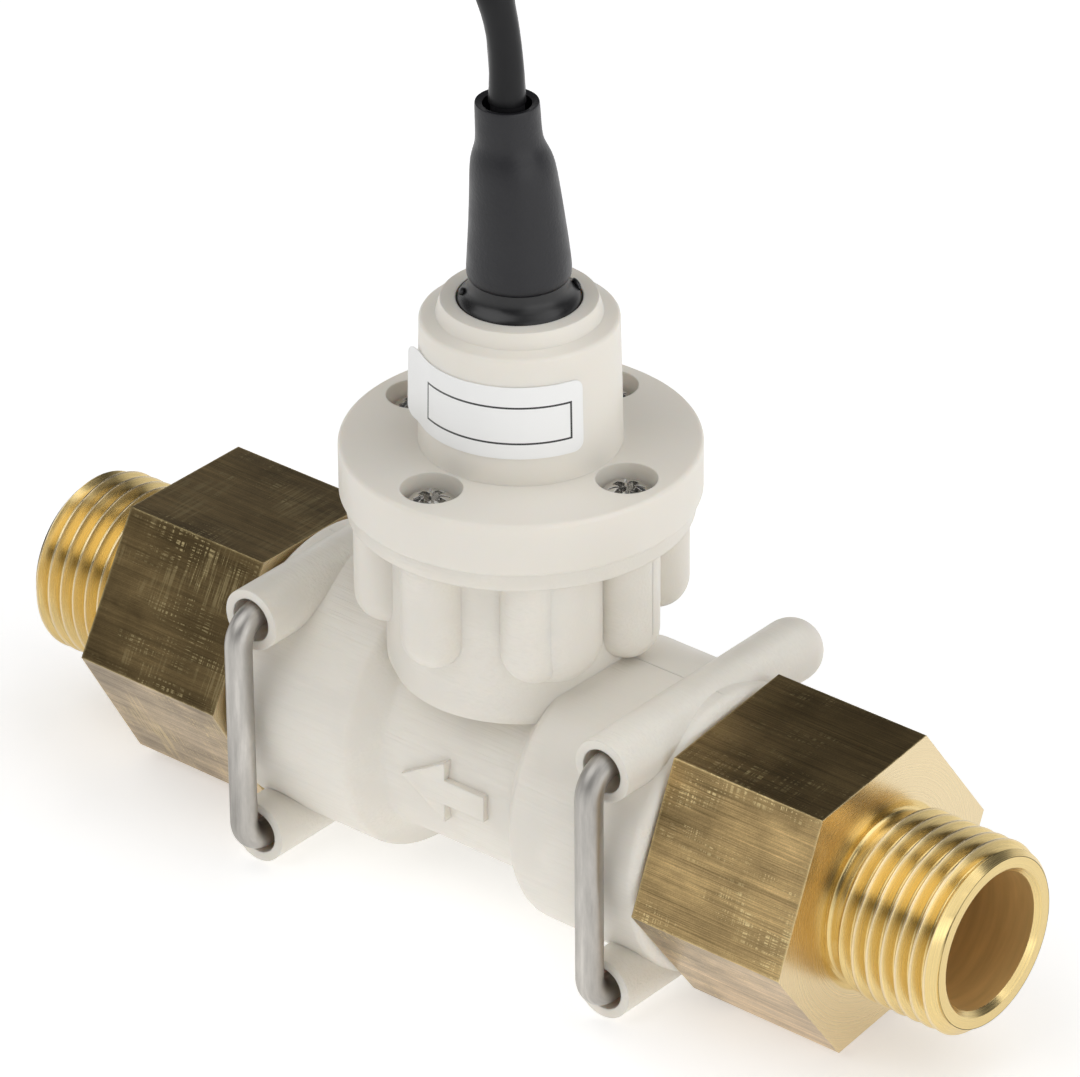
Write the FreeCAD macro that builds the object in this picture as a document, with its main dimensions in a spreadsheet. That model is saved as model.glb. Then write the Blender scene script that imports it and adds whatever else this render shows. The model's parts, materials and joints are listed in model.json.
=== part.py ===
"""Turbine flow meter with two clipped-in threaded brass fittings and a capped pulse sensor.

X runs along the pipe from the outlet (-X) to the inlet (+X), Z is up the sensor turret, and the
clips push in from the -Y side.  The origin lies on the surface that the meter stands on, under
the crossing of the pipe axis and the turret axis.  Millimetres throughout.

Bodies are drawn about the pipe axis (z = 0) and lifted with their Placement, so that the lower
clip tubes stand on the surface.
"""
import FreeCAD, Part
import math
import os

import Sketcher
from FreeCAD import Placement, Rotation, Vector

SIZES = [
    # alias, value, what it is
    # moulded body
    ("body_half_length", 28.4, "turret axis to the end of a barrel"),
    ("barrel_start", 11.4, "turret axis to where a barrel has its full diameter"),
    ("waist_half_length", 8.8, "turret axis to the foot of a shoulder"),
    ("barrel_dia", 32.0, "end barrel"),
    ("waist_dia", 25.5, "waist between the barrels"),
    ("barrel_round", 1.3, "round on a barrel's end edge"),
    ("flow_bore_dia", 15.2, "rotor chamber"),
    ("socket_dia", 26.5, "socket for a fitting"),
    ("socket_depth", 15.0, "socket floor below the barrel's end"),
    ("turret_dia", 28.6, "turret wall"),
    ("turret_top", 31.0, "turret's flange face above the pipe axis"),
    ("turret_foot", 9.6, "turret's rounded foot above the pipe axis"),
    ("turret_round", 2.2, "round on the turret's foot"),
    ("lip_dia", 36.5, "lip under the cap"),
    ("lip_height", 2.04, "height of that lip"),
    ("boss_count", 8, "screw and stiffening bosses round the turret"),
    ("boss_dia", 7.0, "one boss"),
    ("boss_radius", 14.15, "boss centres from the turret axis"),
    ("boss_end", 19.6, "centre of a boss's ball end above the pipe axis"),
    ("well_dia", 22.0, "sensor well"),
    ("well_floor_dia", 18.0, "well below the board's ledge"),
    ("well_floor", 9.8, "bottom of the well above the pipe axis"),
    ("board_ledge", 14.0, "ledge of the board above the pipe axis"),
    ("arrow_height", 0.65, "arrow proud of the waist"),
    ("arrow_length", 11.5, "tip to tail"),
    ("arrow_head_length", 6.1, "arrow head"),
    ("arrow_head_width", 7.2, "arrow head"),
    ("arrow_shaft_width", 3.0, "arrow shaft"),
    # clip tubes and clips
    ("clip_inset", 4.4, "clip plane from a barrel's end"),
    ("tube_z", 13.2, "clip tube axis above and below the pipe axis"),
    ("tube_dia", 7.0, "clip tube"),
    ("tube_proud", 0.07, "open face of a clip tube in front of the barrel"),
    ("tube_end", 15.04, "centre of a clip tube's ball end behind the pipe axis"),
    ("tube_hole_dia", 4.92, "hole of a clip tube"),
    ("wire_dia", 3.0, "clip wire"),
    ("leg_z", 13.7, "clip leg above and below the pipe axis"),
    ("bow_gap", 0.65, "clip's bow to the barrel"),
    ("clip_bend", 3.0, "bend radius of the wire's centreline"),
    ("leg_gap", 0.35, "legs' tips to the bottoms of their holes"),
    # threaded fittings
    ("hex_flats", 30.0, "hexagon across flats"),
    ("hex_width", 19.2, "hexagon along the pipe"),
    ("fitting_gap", 0.4, "barrel's end to the hexagon"),
    ("thread_dia", 20.955, "G 1/2 major diameter"),
    ("thread_length", 14.25, "hexagon face to the fitting's end"),
    ("relief_dia", 18.4, "thread relief at the hexagon"),
    ("relief_width", 1.7, "thread relief at the hexagon"),
    ("thread_chamfer", 1.1, "lead-in chamfer of the thread"),
    ("fitting_bore_dia", 15.1, "bore of a fitting"),
    ("bore_chamfer", 0.6, "chamfer of the bore's mouth"),
    ("spigot_fit", 0.05, "radial clearance of the spigot in its socket"),
    ("seat_gap", 0.3, "spigot's end to the socket floor"),
    ("seal_inset", 10.4, "pipe seal from a barrel's end"),
    ("seal_section", 1.75, "pipe seal's cord diameter"),
    ("seal_play", 0.03, "seal ring to the faces that it seals"),
    ("seal_room", 0.35, "seal ring to the walls of its groove"),
    ("groove_play", 0.3, "clip wire to the groove's faces"),
    ("inlet_turn", 6.4, "angle at which the inlet hexagon stands"),
    ("outlet_turn", 0.2, "angle at which the outlet hexagon stands"),
    # rotor and its carriers
    ("carrier_dia", 19.0, "recess for a straightener's ring"),
    ("carrier_width", 2.0, "width of that ring"),
    ("carrier_hub_dia", 5.2, "straightener hub"),
    ("carrier_reach", 5.3, "turret axis to the hub's inner end"),
    ("carrier_vanes", 4, "straightener vanes"),
    ("vane_thickness", 0.8, "straightener vane"),
    ("press_fit", 0.02, "radial clearance of parts pushed together for good"),
    ("bearing_dia", 3.2, "bearing cup"),
    ("bearing_length", 3.3, "bearing cup"),
    ("shaft_dia", 1.5, "rotor shaft"),
    ("shaft_fit", 0.03, "radial clearance of the shaft in its cup"),
    ("shaft_half_length", 7.9, "rotor shaft"),
    ("rotor_hub_dia", 7.2, "rotor hub"),
    ("rotor_half_length", 4.5, "rotor hub"),
    ("blade_count", 6, "helical blades"),
    ("blade_dia", 14.2, "over the blades"),
    ("blade_width", 7.6, "blades along the axis"),
    ("blade_thickness", 0.9, "blade measured along the axis"),
    ("blade_lead", 56.0, "axial length of one full turn of a blade"),
    ("magnet_dia", 1.8, "rotor magnet"),
    ("magnet_length", 3.0, "rotor magnet"),
    ("magnet_radius", 2.35, "magnets from the rotor axis"),
    # cap
    ("cap_dia", 38.0, "cap flange"),
    ("cap_thickness", 6.0, "cap flange"),
    ("cap_round", 0.5, "round on the flange's edges"),
    ("neck_foot_dia", 21.4, "neck at the flange"),
    ("neck_dia", 20.8, "neck at its shoulder"),
    ("neck_height", 14.4, "flange to shoulder"),
    ("rim_dia", 16.4, "raised rim round the cable's hole"),
    ("rim_height", 2.0, "raised rim"),
    ("gland_dia", 13.14, "hole for the grommet"),
    ("gland_depth", 4.2, "ledge below the rim"),
    ("neck_bore_dia", 11.0, "cable room in the neck"),
    ("cap_room_dia", 15.0, "cable room in the flange"),
    ("plug_fit", 0.1, "radial clearance of the cap's plug in the well"),
    ("plug_length", 4.6, "cap's plug below the flange"),
    ("ring_section", 1.7, "cap seal's cord diameter"),
    ("screw_count", 4, "cap screws"),
    ("screw_circle", 28.4, "pitch circle of the cap screws"),
    ("recess_dia", 6.5, "screw recess in the flange"),
    ("recess_depth", 3.2, "screw recess in the flange"),
    ("screw_dia", 2.9, "screw shank"),
    ("screw_hole_dia", 3.4, "clearance hole in the flange"),
    ("screw_length", 12.7, "screw under its head"),
    ("head_dia", 5.9, "screw head"),
    ("head_height", 2.2, "screw head"),
    ("drive_width", 0.9, "arms of the cross recess"),
    ("drive_span", 3.2, "cross recess over its arms"),
    ("pilot_fit", 0.05, "radial clearance of a screw in its boss"),
    # sensor
    ("board_thickness", 1.6, "sensor board"),
    ("board_fit", 0.2, "radial clearance of the board in the well"),
    ("chip_width", 4.2, "magnetic sensor"),
    ("chip_height", 3.2, "magnetic sensor"),
    ("chip_thickness", 1.6, "magnetic sensor"),
    ("lead_width", 0.4, "sensor's leads"),
    ("lead_pitch", 1.27, "sensor's leads"),
    ("smd_length", 3.2, "parts on top of the board"),
    ("smd_width", 1.6, "parts on top of the board"),
    ("smd_offset", 6.5, "their outer ends from the board's middle"),
    ("smd_gap", 1.4, "resistor and capacitor from the board's centre line"),
    ("resistor_height", 0.6, "resistor"),
    ("capacitor_height", 0.9, "capacitor"),
    ("diode_height", 1.2, "protection diode"),
    ("core_dia", 1.1, "insulated core of the cable"),
    ("core_radius", 0.66, "cores from the cable's centre"),
    # grommet, sleeve and cable
    ("grommet_fit", 0.07, "radial clearance of the grommet in the rim"),
    ("grommet_skirt", 2.0, "grommet below the ledge that carries it"),
    ("skirt_fit", 0.1, "radial clearance of that skirt in the neck"),
    ("collar_dia", 10.4, "grommet's collar under the sleeve"),
    ("collar_height", 2.5, "collar above the rim"),
    ("collar_cone", 1.6, "sloping shoulder above the rim"),
    ("stem_dia", 7.2, "grommet's stem in the sleeve"),
    ("stem_height", 7.2, "stem above the collar"),
    ("sleeve_height", 19.8, "sleeve above the collar"),
    ("sleeve_wall", 0.75, "sleeve"),
    ("sleeve_lean", 1.06, "sleeve's mouth off the turret axis"),
    ("cable_dia", 3.5, "jacket of the cable"),
    ("cable_fit", 0.05, "radial clearance of the cable in the grommet"),
    ("retainer_dia", 7.0, "retainer on the cable below the grommet"),
    ("retainer_height", 2.4, "retainer on the cable below the grommet"),
    ("jacket_tail", 2.8, "jacket out of the retainer's lower face"),
    # stored length of the cable
    ("hank_x", -25.0, "middle of the hank"),
    ("hank_y", 27.4, "middle of the hank"),
    ("hank_spread", 43.0, "between the centres of its two end loops"),
    ("hank_layers", 2, "turns on each other"),
    ("fold_radius", 10.5, "centreline of an end loop"),
    ("pad_length", 3.0, "hank's stretch that the free cable runs into"),
    ("pad_sink", 0.3, "that stretch into the turn below it"),
    ("tie_width", 3.0, "tie"),
    ("tie_thickness", 0.5, "tie"),
    ("bare_core_length", 14.0, "insulated cores out of the jacket's end"),
    ("tinned_length", 5.0, "tinned ends of the cores"),
]

# Direction in which the sleeve and the cable lean, seen from above.
LEAN_ANGLE = math.radians(220.1)

# Where round the end loop the cores leave the jacket, and their heading.
LEAD_ROOT = math.radians(-112)
LEAD_HEADING = math.radians(58)

# The free cable's route above the standing surface, from the sleeve's mouth to the hank.
CABLE_ROUTE = [
    (-0.81, -0.68, 92.4),
    (-2.65, -2.23, 108.8),
    (-11.1, 8.5, 121.9),
    (-23.9, 22.8, 122.2),
    (-32.4, 32.9, 108.6),
    (-32.1, 33.85, 89.2),
    (-30.3, 34.7, 66.9),
    (-32.1, 33.0, 43.5),
    (-32.3, 30.5, 23.5),
    (-27.6, 27.3, 14.45),
    (-19.25, 23.0, 9.25),
    (-9.5, 18.6, 9.25),
]

doc = FreeCAD.newDocument("TurbineFlowMeter")
sheet = doc.addObject("Spreadsheet::Sheet", "Dim")
for row, (alias, number, note) in enumerate(SIZES, start=1):
    sheet.set(f"A{row}", alias)
    sheet.set(f"B{row}", str(number))
    sheet.setAlias(f"B{row}", alias)
    sheet.set(f"C{row}", note)
doc.recompute()

gauge = doc.addObject("Part::Feature", "Gauge")
parts = []


def value(expression):
    """The number that an expression over the sheet's sizes gives now."""
    found = gauge.evalExpression(str(expression))
    return float(getattr(found, "Value", found))


def bind(obj, **expressions):
    """Tie properties to expressions; a double underscore stands for a dot in a property's path."""
    for path, expression in expressions.items():
        obj.setExpression(path.replace("__", "."), str(expression))


AXIS_HEIGHT = "(Dim.tube_z + Dim.tube_dia / 2)"


def hand_in(obj, label, lift=AXIS_HEIGHT):
    """Name a sub-part, lift it to its height and list it for export."""
    obj.Label = label
    bind(obj, Placement__Base__z=lift)
    parts.append(obj)
    return obj


# --- Sketches and PartDesign features -----------------------------------------------------------


def origin_part(body, role):
    return next(o for o in body.Origin.OriginFeatures if o.Role == role)


def new_body(name):
    return doc.addObject("PartDesign::Body", name)


def outline(body, name, plane, corners):
    """A closed outline whose corners are pairs of expressions in the sketch plane."""
    sketch = body.newObject("Sketcher::SketchObject", name)
    sketch.AttachmentSupport = (origin_part(body, plane), [""])
    sketch.MapMode = "FlatFace"
    places = [Vector(value(across), value(up), 0) for across, up in corners]
    count = len(places)
    for i in range(count):
        sketch.addGeometry(Part.LineSegment(places[i], places[(i + 1) % count]))
    for i in range(count):
        sketch.addConstraint(Sketcher.Constraint("Coincident", i, 2, (i + 1) % count, 1))
    for i, pair in enumerate(corners):
        for kind, axis, expression in (("DistanceX", -2, pair[0]), ("DistanceY", -1, pair[1])):
            if str(expression) == "0":
                sketch.addConstraint(Sketcher.Constraint("PointOnObject", i, 1, axis))
                continue
            number = value(expression)
            index = sketch.addConstraint(Sketcher.Constraint(kind, -1, 1, i, 1, number))
            sketch.setExpression(f"Constraints[{index}]", str(expression))
    doc.recompute()
    return sketch


def turned(body, name, corners, about="X", cut=False):
    """Revolve an outline of (along, radius) pairs about X, or of (radius, height) pairs about Z."""
    sketch = outline(body, name + "Outline", "XZ_Plane", corners)
    kind = "PartDesign::Groove" if cut else "PartDesign::Revolution"
    feature = body.newObject(kind, name)
    feature.Profile = sketch
    feature.ReferenceAxis = (sketch, ["H_Axis" if about == "X" else "V_Axis"])
    feature.Angle = 360
    doc.recompute()
    return feature


def primitive(body, kind, name, turn=None, at=(0, 0, 0), **sizes):
    """A PartDesign primitive such as AdditiveCylinder, placed by expressions."""
    feature = body.newObject("PartDesign::" + kind, name)
    if turn is not None:
        feature.Placement = Placement(Vector(), turn)
    bind(feature, **sizes)
    for letter, expression in zip("xyz", at):
        if str(expression) != "0":
            feature.setExpression(f"Placement.Base.{letter}", str(expression))
    doc.recompute()
    return feature


def around(body, name, originals, count, axis="Z_Axis"):
    """Repeat features evenly about one of the body's axes."""
    pattern = body.newObject("PartDesign::PolarPattern", name)
    pattern.Originals = originals
    pattern.Axis = (origin_part(body, axis), [""])
    pattern.Angle = 360
    bind(pattern, Occurrences=count)
    body.Tip = pattern
    doc.recompute()
    return pattern


def circle_edges(feature, radius, along, axis="x"):
    """Names of the full circles of one radius that lie at one place along an axis."""
    names = []
    for number, edge in enumerate(feature.Shape.Edges, start=1):
        if not isinstance(edge.Curve, Part.Circle):
            continue
        middle = getattr(edge.Curve.Center, axis)
        if abs(edge.Curve.Radius - radius) < 1e-4 and abs(middle - along) < 1e-4:
            names.append(f"Edge{number}")
    return names


def rounded(body, name, base, edges, radius, kind="Fillet"):
    feature = body.newObject("PartDesign::" + kind, name)
    feature.Base = (base, edges)
    bind(feature, **{"Radius" if kind == "Fillet" else "Size": radius})
    doc.recompute()
    return feature


# Cylinders are made along Z; these turns lay them along X or Y.
ALONG_X = Rotation(Vector(0, 1, 0), 90)
ALONG_Y = Rotation(Vector(1, 0, 0), -90)
SIDES = ((1, 1), (1, -1), (-1, 1), (-1, -1))


# --- Moulded body --------------------------------------------------------------------------------

SOCKET_FLOOR = "(Dim.body_half_length - Dim.socket_depth)"
TUBE_FACE = "(Dim.barrel_dia / 2 + Dim.tube_proud)"
CLIP_X = "(Dim.body_half_length - Dim.clip_inset)"
SEAL_X = "(Dim.body_half_length - Dim.seal_inset)"


def make_flow_body():
    body = new_body("FlowBody")
    end, start, waist = "Dim.body_half_length", "Dim.barrel_start", "Dim.waist_half_length"
    barrel, narrow = "Dim.barrel_dia / 2", "Dim.waist_dia / 2"
    barrels = turned(
        body,
        "Barrels",
        [
            (f"-{end}", "0"),
            (f"-{end}", barrel),
            (f"-{start}", barrel),
            (f"-{waist}", narrow),
            (waist, narrow),
            (start, barrel),
            (end, barrel),
            (end, "0"),
        ],
    )
    ends = circle_edges(barrels, value(barrel), value(end))
    ends += circle_edges(barrels, value(barrel), -value(end))
    rounds = rounded(body, "BarrelRounds", barrels, ends, "Dim.barrel_round")
    shoulders = []
    for side in (-1, 1):
        shoulders += circle_edges(rounds, value(barrel), side * value(start))
    rounds = rounded(body, "ShoulderRounds", rounds, shoulders, "Dim.barrel_round")
    hollows = []
    for side in (-1, 1):
        hollows += circle_edges(rounds, value(narrow), side * value(waist))
    rounded(body, "ShoulderHollows", rounds, hollows, "Dim.barrel_round")

    foot, top, lip = "Dim.turret_foot", "Dim.turret_top", "Dim.lip_height"
    wall = "Dim.turret_dia / 2"
    turned(
        body,
        "Turret",
        [
            ("0", foot),
            (f"{wall} - Dim.turret_round", foot),
            (f"{wall} - 0.3 * Dim.turret_round", f"{foot} + 0.3 * Dim.turret_round"),
            (wall, f"{foot} + Dim.turret_round"),
            (wall, f"{top} - {lip}"),
            ("Dim.lip_dia / 2", f"{top} - {lip}"),
            ("Dim.lip_dia / 2", top),
            ("0", top),
        ],
        about="Z",
    )
    boss = primitive(
        body,
        "AdditiveCylinder",
        "Boss",
        at=("Dim.boss_radius", "0", "Dim.boss_end"),
        Radius="Dim.boss_dia / 2",
        Height=f"{top} - {lip} / 2 - Dim.boss_end",
    )
    ball = primitive(
        body,
        "AdditiveSphere",
        "BossEnd",
        at=("Dim.boss_radius", "0", "Dim.boss_end"),
        Radius="Dim.boss_dia / 2",
    )
    around(body, "Bosses", [boss, ball], "Dim.boss_count")

    for number, (side, level) in enumerate(SIDES, start=1):
        place = (f"{side} * {CLIP_X}", f"{level} * Dim.tube_z")
        primitive(
            body,
            "AdditiveCylinder",
            f"ClipTube{number}",
            turn=ALONG_Y,
            at=(place[0], f"-{TUBE_FACE}", place[1]),
            Radius="Dim.tube_dia / 2",
            Height=f"{TUBE_FACE} + Dim.tube_end",
        )
        primitive(
            body,
            "AdditiveSphere",
            f"ClipTubeEnd{number}",
            at=(place[0], "Dim.tube_end", place[1]),
            Radius="Dim.tube_dia / 2",
        )

    half, head = "Dim.arrow_length / 2", "Dim.arrow_head_length"
    broad, slim = "Dim.arrow_head_width / 2", "Dim.arrow_shaft_width / 2"
    sketch = outline(
        body,
        "ArrowOutline",
        "XZ_Plane",
        [
            (f"-{half}", "0"),
            (f"-{half} + {head}", broad),
            (f"-{half} + {head}", slim),
            (half, slim),
            (half, f"-{slim}"),
            (f"-{half} + {head}", f"-{slim}"),
            (f"-{half} + {head}", f"-{broad}"),
        ],
    )
    arrow = body.newObject("PartDesign::Pad", "Arrow")
    arrow.Profile = sketch
    bind(arrow, Length="Dim.waist_dia / 2 + Dim.arrow_height")
    doc.recompute()

    floor = SOCKET_FLOOR
    recess = f"{floor} - Dim.carrier_width"
    socket, ring, bore = "Dim.socket_dia / 2", "Dim.carrier_dia / 2", "Dim.flow_bore_dia / 2"
    half_profile = [
        (recess, bore),
        (recess, ring),
        (floor, ring),
        (floor, socket),
        (f"{end} - 0.8", socket),
        (f"{end} + 0.01", f"{socket} + 0.81"),
        (f"{end} + 0.01", "0"),
    ]
    mirrored = [(f"-({along})", radius) for along, radius in reversed(half_profile)]
    turned(body, "FlowPassage", mirrored + half_profile, cut=True)

    primitive(
        body,
        "SubtractiveCylinder",
        "Well",
        at=("0", "0", "Dim.board_ledge"),
        Radius="Dim.well_dia / 2",
        Height=f"{top} - Dim.board_ledge",
    )
    primitive(
        body,
        "SubtractiveCylinder",
        "WellFloor",
        at=("0", "0", "Dim.well_floor"),
        Radius="Dim.well_floor_dia / 2",
        Height="Dim.board_ledge - Dim.well_floor",
    )
    pilot = primitive(
        body,
        "SubtractiveCylinder",
        "PilotHole",
        at=("Dim.screw_circle / 2", "0", f"{SCREW_SEAT} - Dim.screw_length - 0.5"),
        Radius="Dim.screw_dia / 2 + Dim.pilot_fit",
        Height=f"{top} - {SCREW_SEAT} + Dim.screw_length + 0.5",
    )
    around(body, "PilotHoles", [pilot], "Dim.screw_count")
    for number, (side, level) in enumerate(SIDES, start=1):
        primitive(
            body,
            "SubtractiveCylinder",
            f"ClipHole{number}",
            turn=ALONG_Y,
            at=(f"{side} * {CLIP_X}", f"-{TUBE_FACE}", f"{level} * Dim.tube_z"),
            Radius="Dim.tube_hole_dia / 2",
            Height=f"{TUBE_FACE} + Dim.tube_end",
        )
    return hand_in(body, "flow_body")


# --- Cap and its screws --------------------------------------------------------------------------

CAP_TOP = "(Dim.turret_top + Dim.cap_thickness)"
SHOULDER = f"({CAP_TOP} + Dim.neck_height)"
RIM = f"({SHOULDER} + Dim.rim_height)"
LEDGE = f"({RIM} - Dim.gland_depth)"
SCREW_SEAT = f"({CAP_TOP} - Dim.recess_depth)"
COLLAR = f"({RIM} + Dim.collar_height)"
SKIRT = f"({LEDGE} - Dim.grommet_skirt)"
RETAINER_LOW = f"({SKIRT} - Dim.retainer_height)"
JACKET_END = f"({RETAINER_LOW} - Dim.jacket_tail)"


def make_sensor_cap():
    body = new_body("SensorCap")
    base, plug = "Dim.turret_top", "(Dim.well_dia / 2 - Dim.plug_fit)"
    groove_floor = "Dim.well_dia / 2 - Dim.ring_section - 2 * Dim.seal_play"
    groove_low = f"{base} - Dim.plug_length + 1.2"
    groove_high = f"{groove_low} + Dim.ring_section + 0.3"
    turned(
        body,
        "CapTurning",
        [
            ("Dim.cap_room_dia / 2", f"{base} - Dim.plug_length"),
            (plug, f"{base} - Dim.plug_length"),
            (plug, groove_low),
            (groove_floor, groove_low),
            (groove_floor, groove_high),
            (plug, groove_high),
            (plug, base),
            ("Dim.cap_dia / 2", base),
            ("Dim.cap_dia / 2", CAP_TOP),
            ("Dim.neck_foot_dia / 2", CAP_TOP),
            ("Dim.neck_dia / 2", SHOULDER),
            ("Dim.rim_dia / 2 + 0.5", f"{SHOULDER} + 0.3"),
            ("Dim.rim_dia / 2", RIM),
            ("Dim.gland_dia / 2", RIM),
            ("Dim.gland_dia / 2", LEDGE),
            ("Dim.neck_bore_dia / 2", LEDGE),
            ("Dim.neck_bore_dia / 2", CAP_TOP),
            ("Dim.cap_room_dia / 2", f"{CAP_TOP} - 1.5"),
        ],
        about="Z",
    )
    edges = circle_edges(body.Tip, value("Dim.cap_dia / 2"), value(CAP_TOP), "z")
    edges += circle_edges(body.Tip, value("Dim.cap_dia / 2"), value(base), "z")
    rounds = rounded(body, "FlangeRounds", body.Tip, edges, "Dim.cap_round")
    edges = circle_edges(rounds, value("Dim.neck_dia / 2"), value(SHOULDER), "z")
    rounded(body, "ShoulderRound", rounds, edges, "Dim.cap_round")
    recess = primitive(
        body,
        "SubtractiveCylinder",
        "ScrewRecess",
        at=("Dim.screw_circle / 2", "0", SCREW_SEAT),
        Radius="Dim.recess_dia / 2",
        Height="Dim.recess_depth",
    )
    hole = primitive(
        body,
        "SubtractiveCylinder",
        "ScrewHole",
        at=("Dim.screw_circle / 2", "0", base),
        Radius="Dim.screw_hole_dia / 2",
        Height="Dim.cap_thickness",
    )
    around(body, "ScrewPlaces", [recess, hole], "Dim.screw_count")
    return hand_in(body, "sensor_cap")


def make_cap_screws():
    """Pan-head cross-recess screws, one turned body repeated round the cap."""
    body = new_body("CapScrews")
    shank, head = "Dim.screw_dia / 2", "Dim.head_dia / 2"
    tip = f"{SCREW_SEAT} - Dim.screw_length"
    top = f"{SCREW_SEAT} + Dim.head_height"
    turned(
        body,
        "ScrewTurning",
        [
            ("0", tip),
            (f"{shank} - 0.6", tip),
            (shank, f"{tip} + 1"),
            (shank, SCREW_SEAT),
            (head, SCREW_SEAT),
            (head, f"{SCREW_SEAT} + 0.35 * Dim.head_height"),
            (f"0.92 * {head}", f"{SCREW_SEAT} + 0.66 * Dim.head_height"),
            (f"0.72 * {head}", f"{SCREW_SEAT} + 0.88 * Dim.head_height"),
            (f"0.42 * {head}", top),
            ("0", top),
        ],
        about="Z",
    )
    for name, wide, deep in (
        ("DriveSlot", "Dim.drive_span", "Dim.drive_width"),
        ("DriveCross", "Dim.drive_width", "Dim.drive_span"),
    ):
        primitive(
            body,
            "SubtractiveBox",
            name,
            at=(f"-{wide} / 2", f"-{deep} / 2", f"{top} - 1.1"),
            Length=wide,
            Width=deep,
            Height="1.2",
        )
    doc.recompute()
    screws = doc.addObject("Part::Feature", "CapScrewSet")
    turned_screw = body.Shape.copy()
    count = int(value("Dim.screw_count"))
    reach = value("Dim.screw_circle / 2")
    copies = []
    for number in range(count):
        copy = turned_screw.copy()
        copy.translate(Vector(reach, 0, 0))
        copy.rotate(Vector(), Vector(0, 0, 1), number * 360 / count)
        copies.append(copy)
    screws.Shape = Part.makeCompound(copies)
    return hand_in(screws, "cap_screws")


def ring(name, label, across, section, along, height):
    """A seal ring: torus of centreline radius `across` about X or Z."""
    torus = doc.addObject("Part::Torus", name)
    if along == "X":
        torus.Placement = Placement(Vector(), ALONG_X)
        bind(torus, Placement__Base__x=height)
        lift = AXIS_HEIGHT
    else:
        lift = f"{height} + {AXIS_HEIGHT}"
    bind(torus, Radius1=across, Radius2=f"{section} / 2")
    return hand_in(torus, label, lift=lift)


# --- Threaded fittings ---------------------------------------------------------------------------

HEX_FACE = "(Dim.body_half_length + Dim.fitting_gap)"
HEX_END = f"({HEX_FACE} + Dim.hex_width)"
FITTING_END = f"({HEX_END} + Dim.thread_length)"
SPIGOT = "(Dim.socket_dia / 2 - Dim.spigot_fit)"
SEAL_FLOOR = "(Dim.socket_dia / 2 - 2 * Dim.seal_play - Dim.seal_section)"
GROOVE_FLOOR = "(Dim.leg_z - Dim.wire_dia / 2 - Dim.groove_play)"


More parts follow.
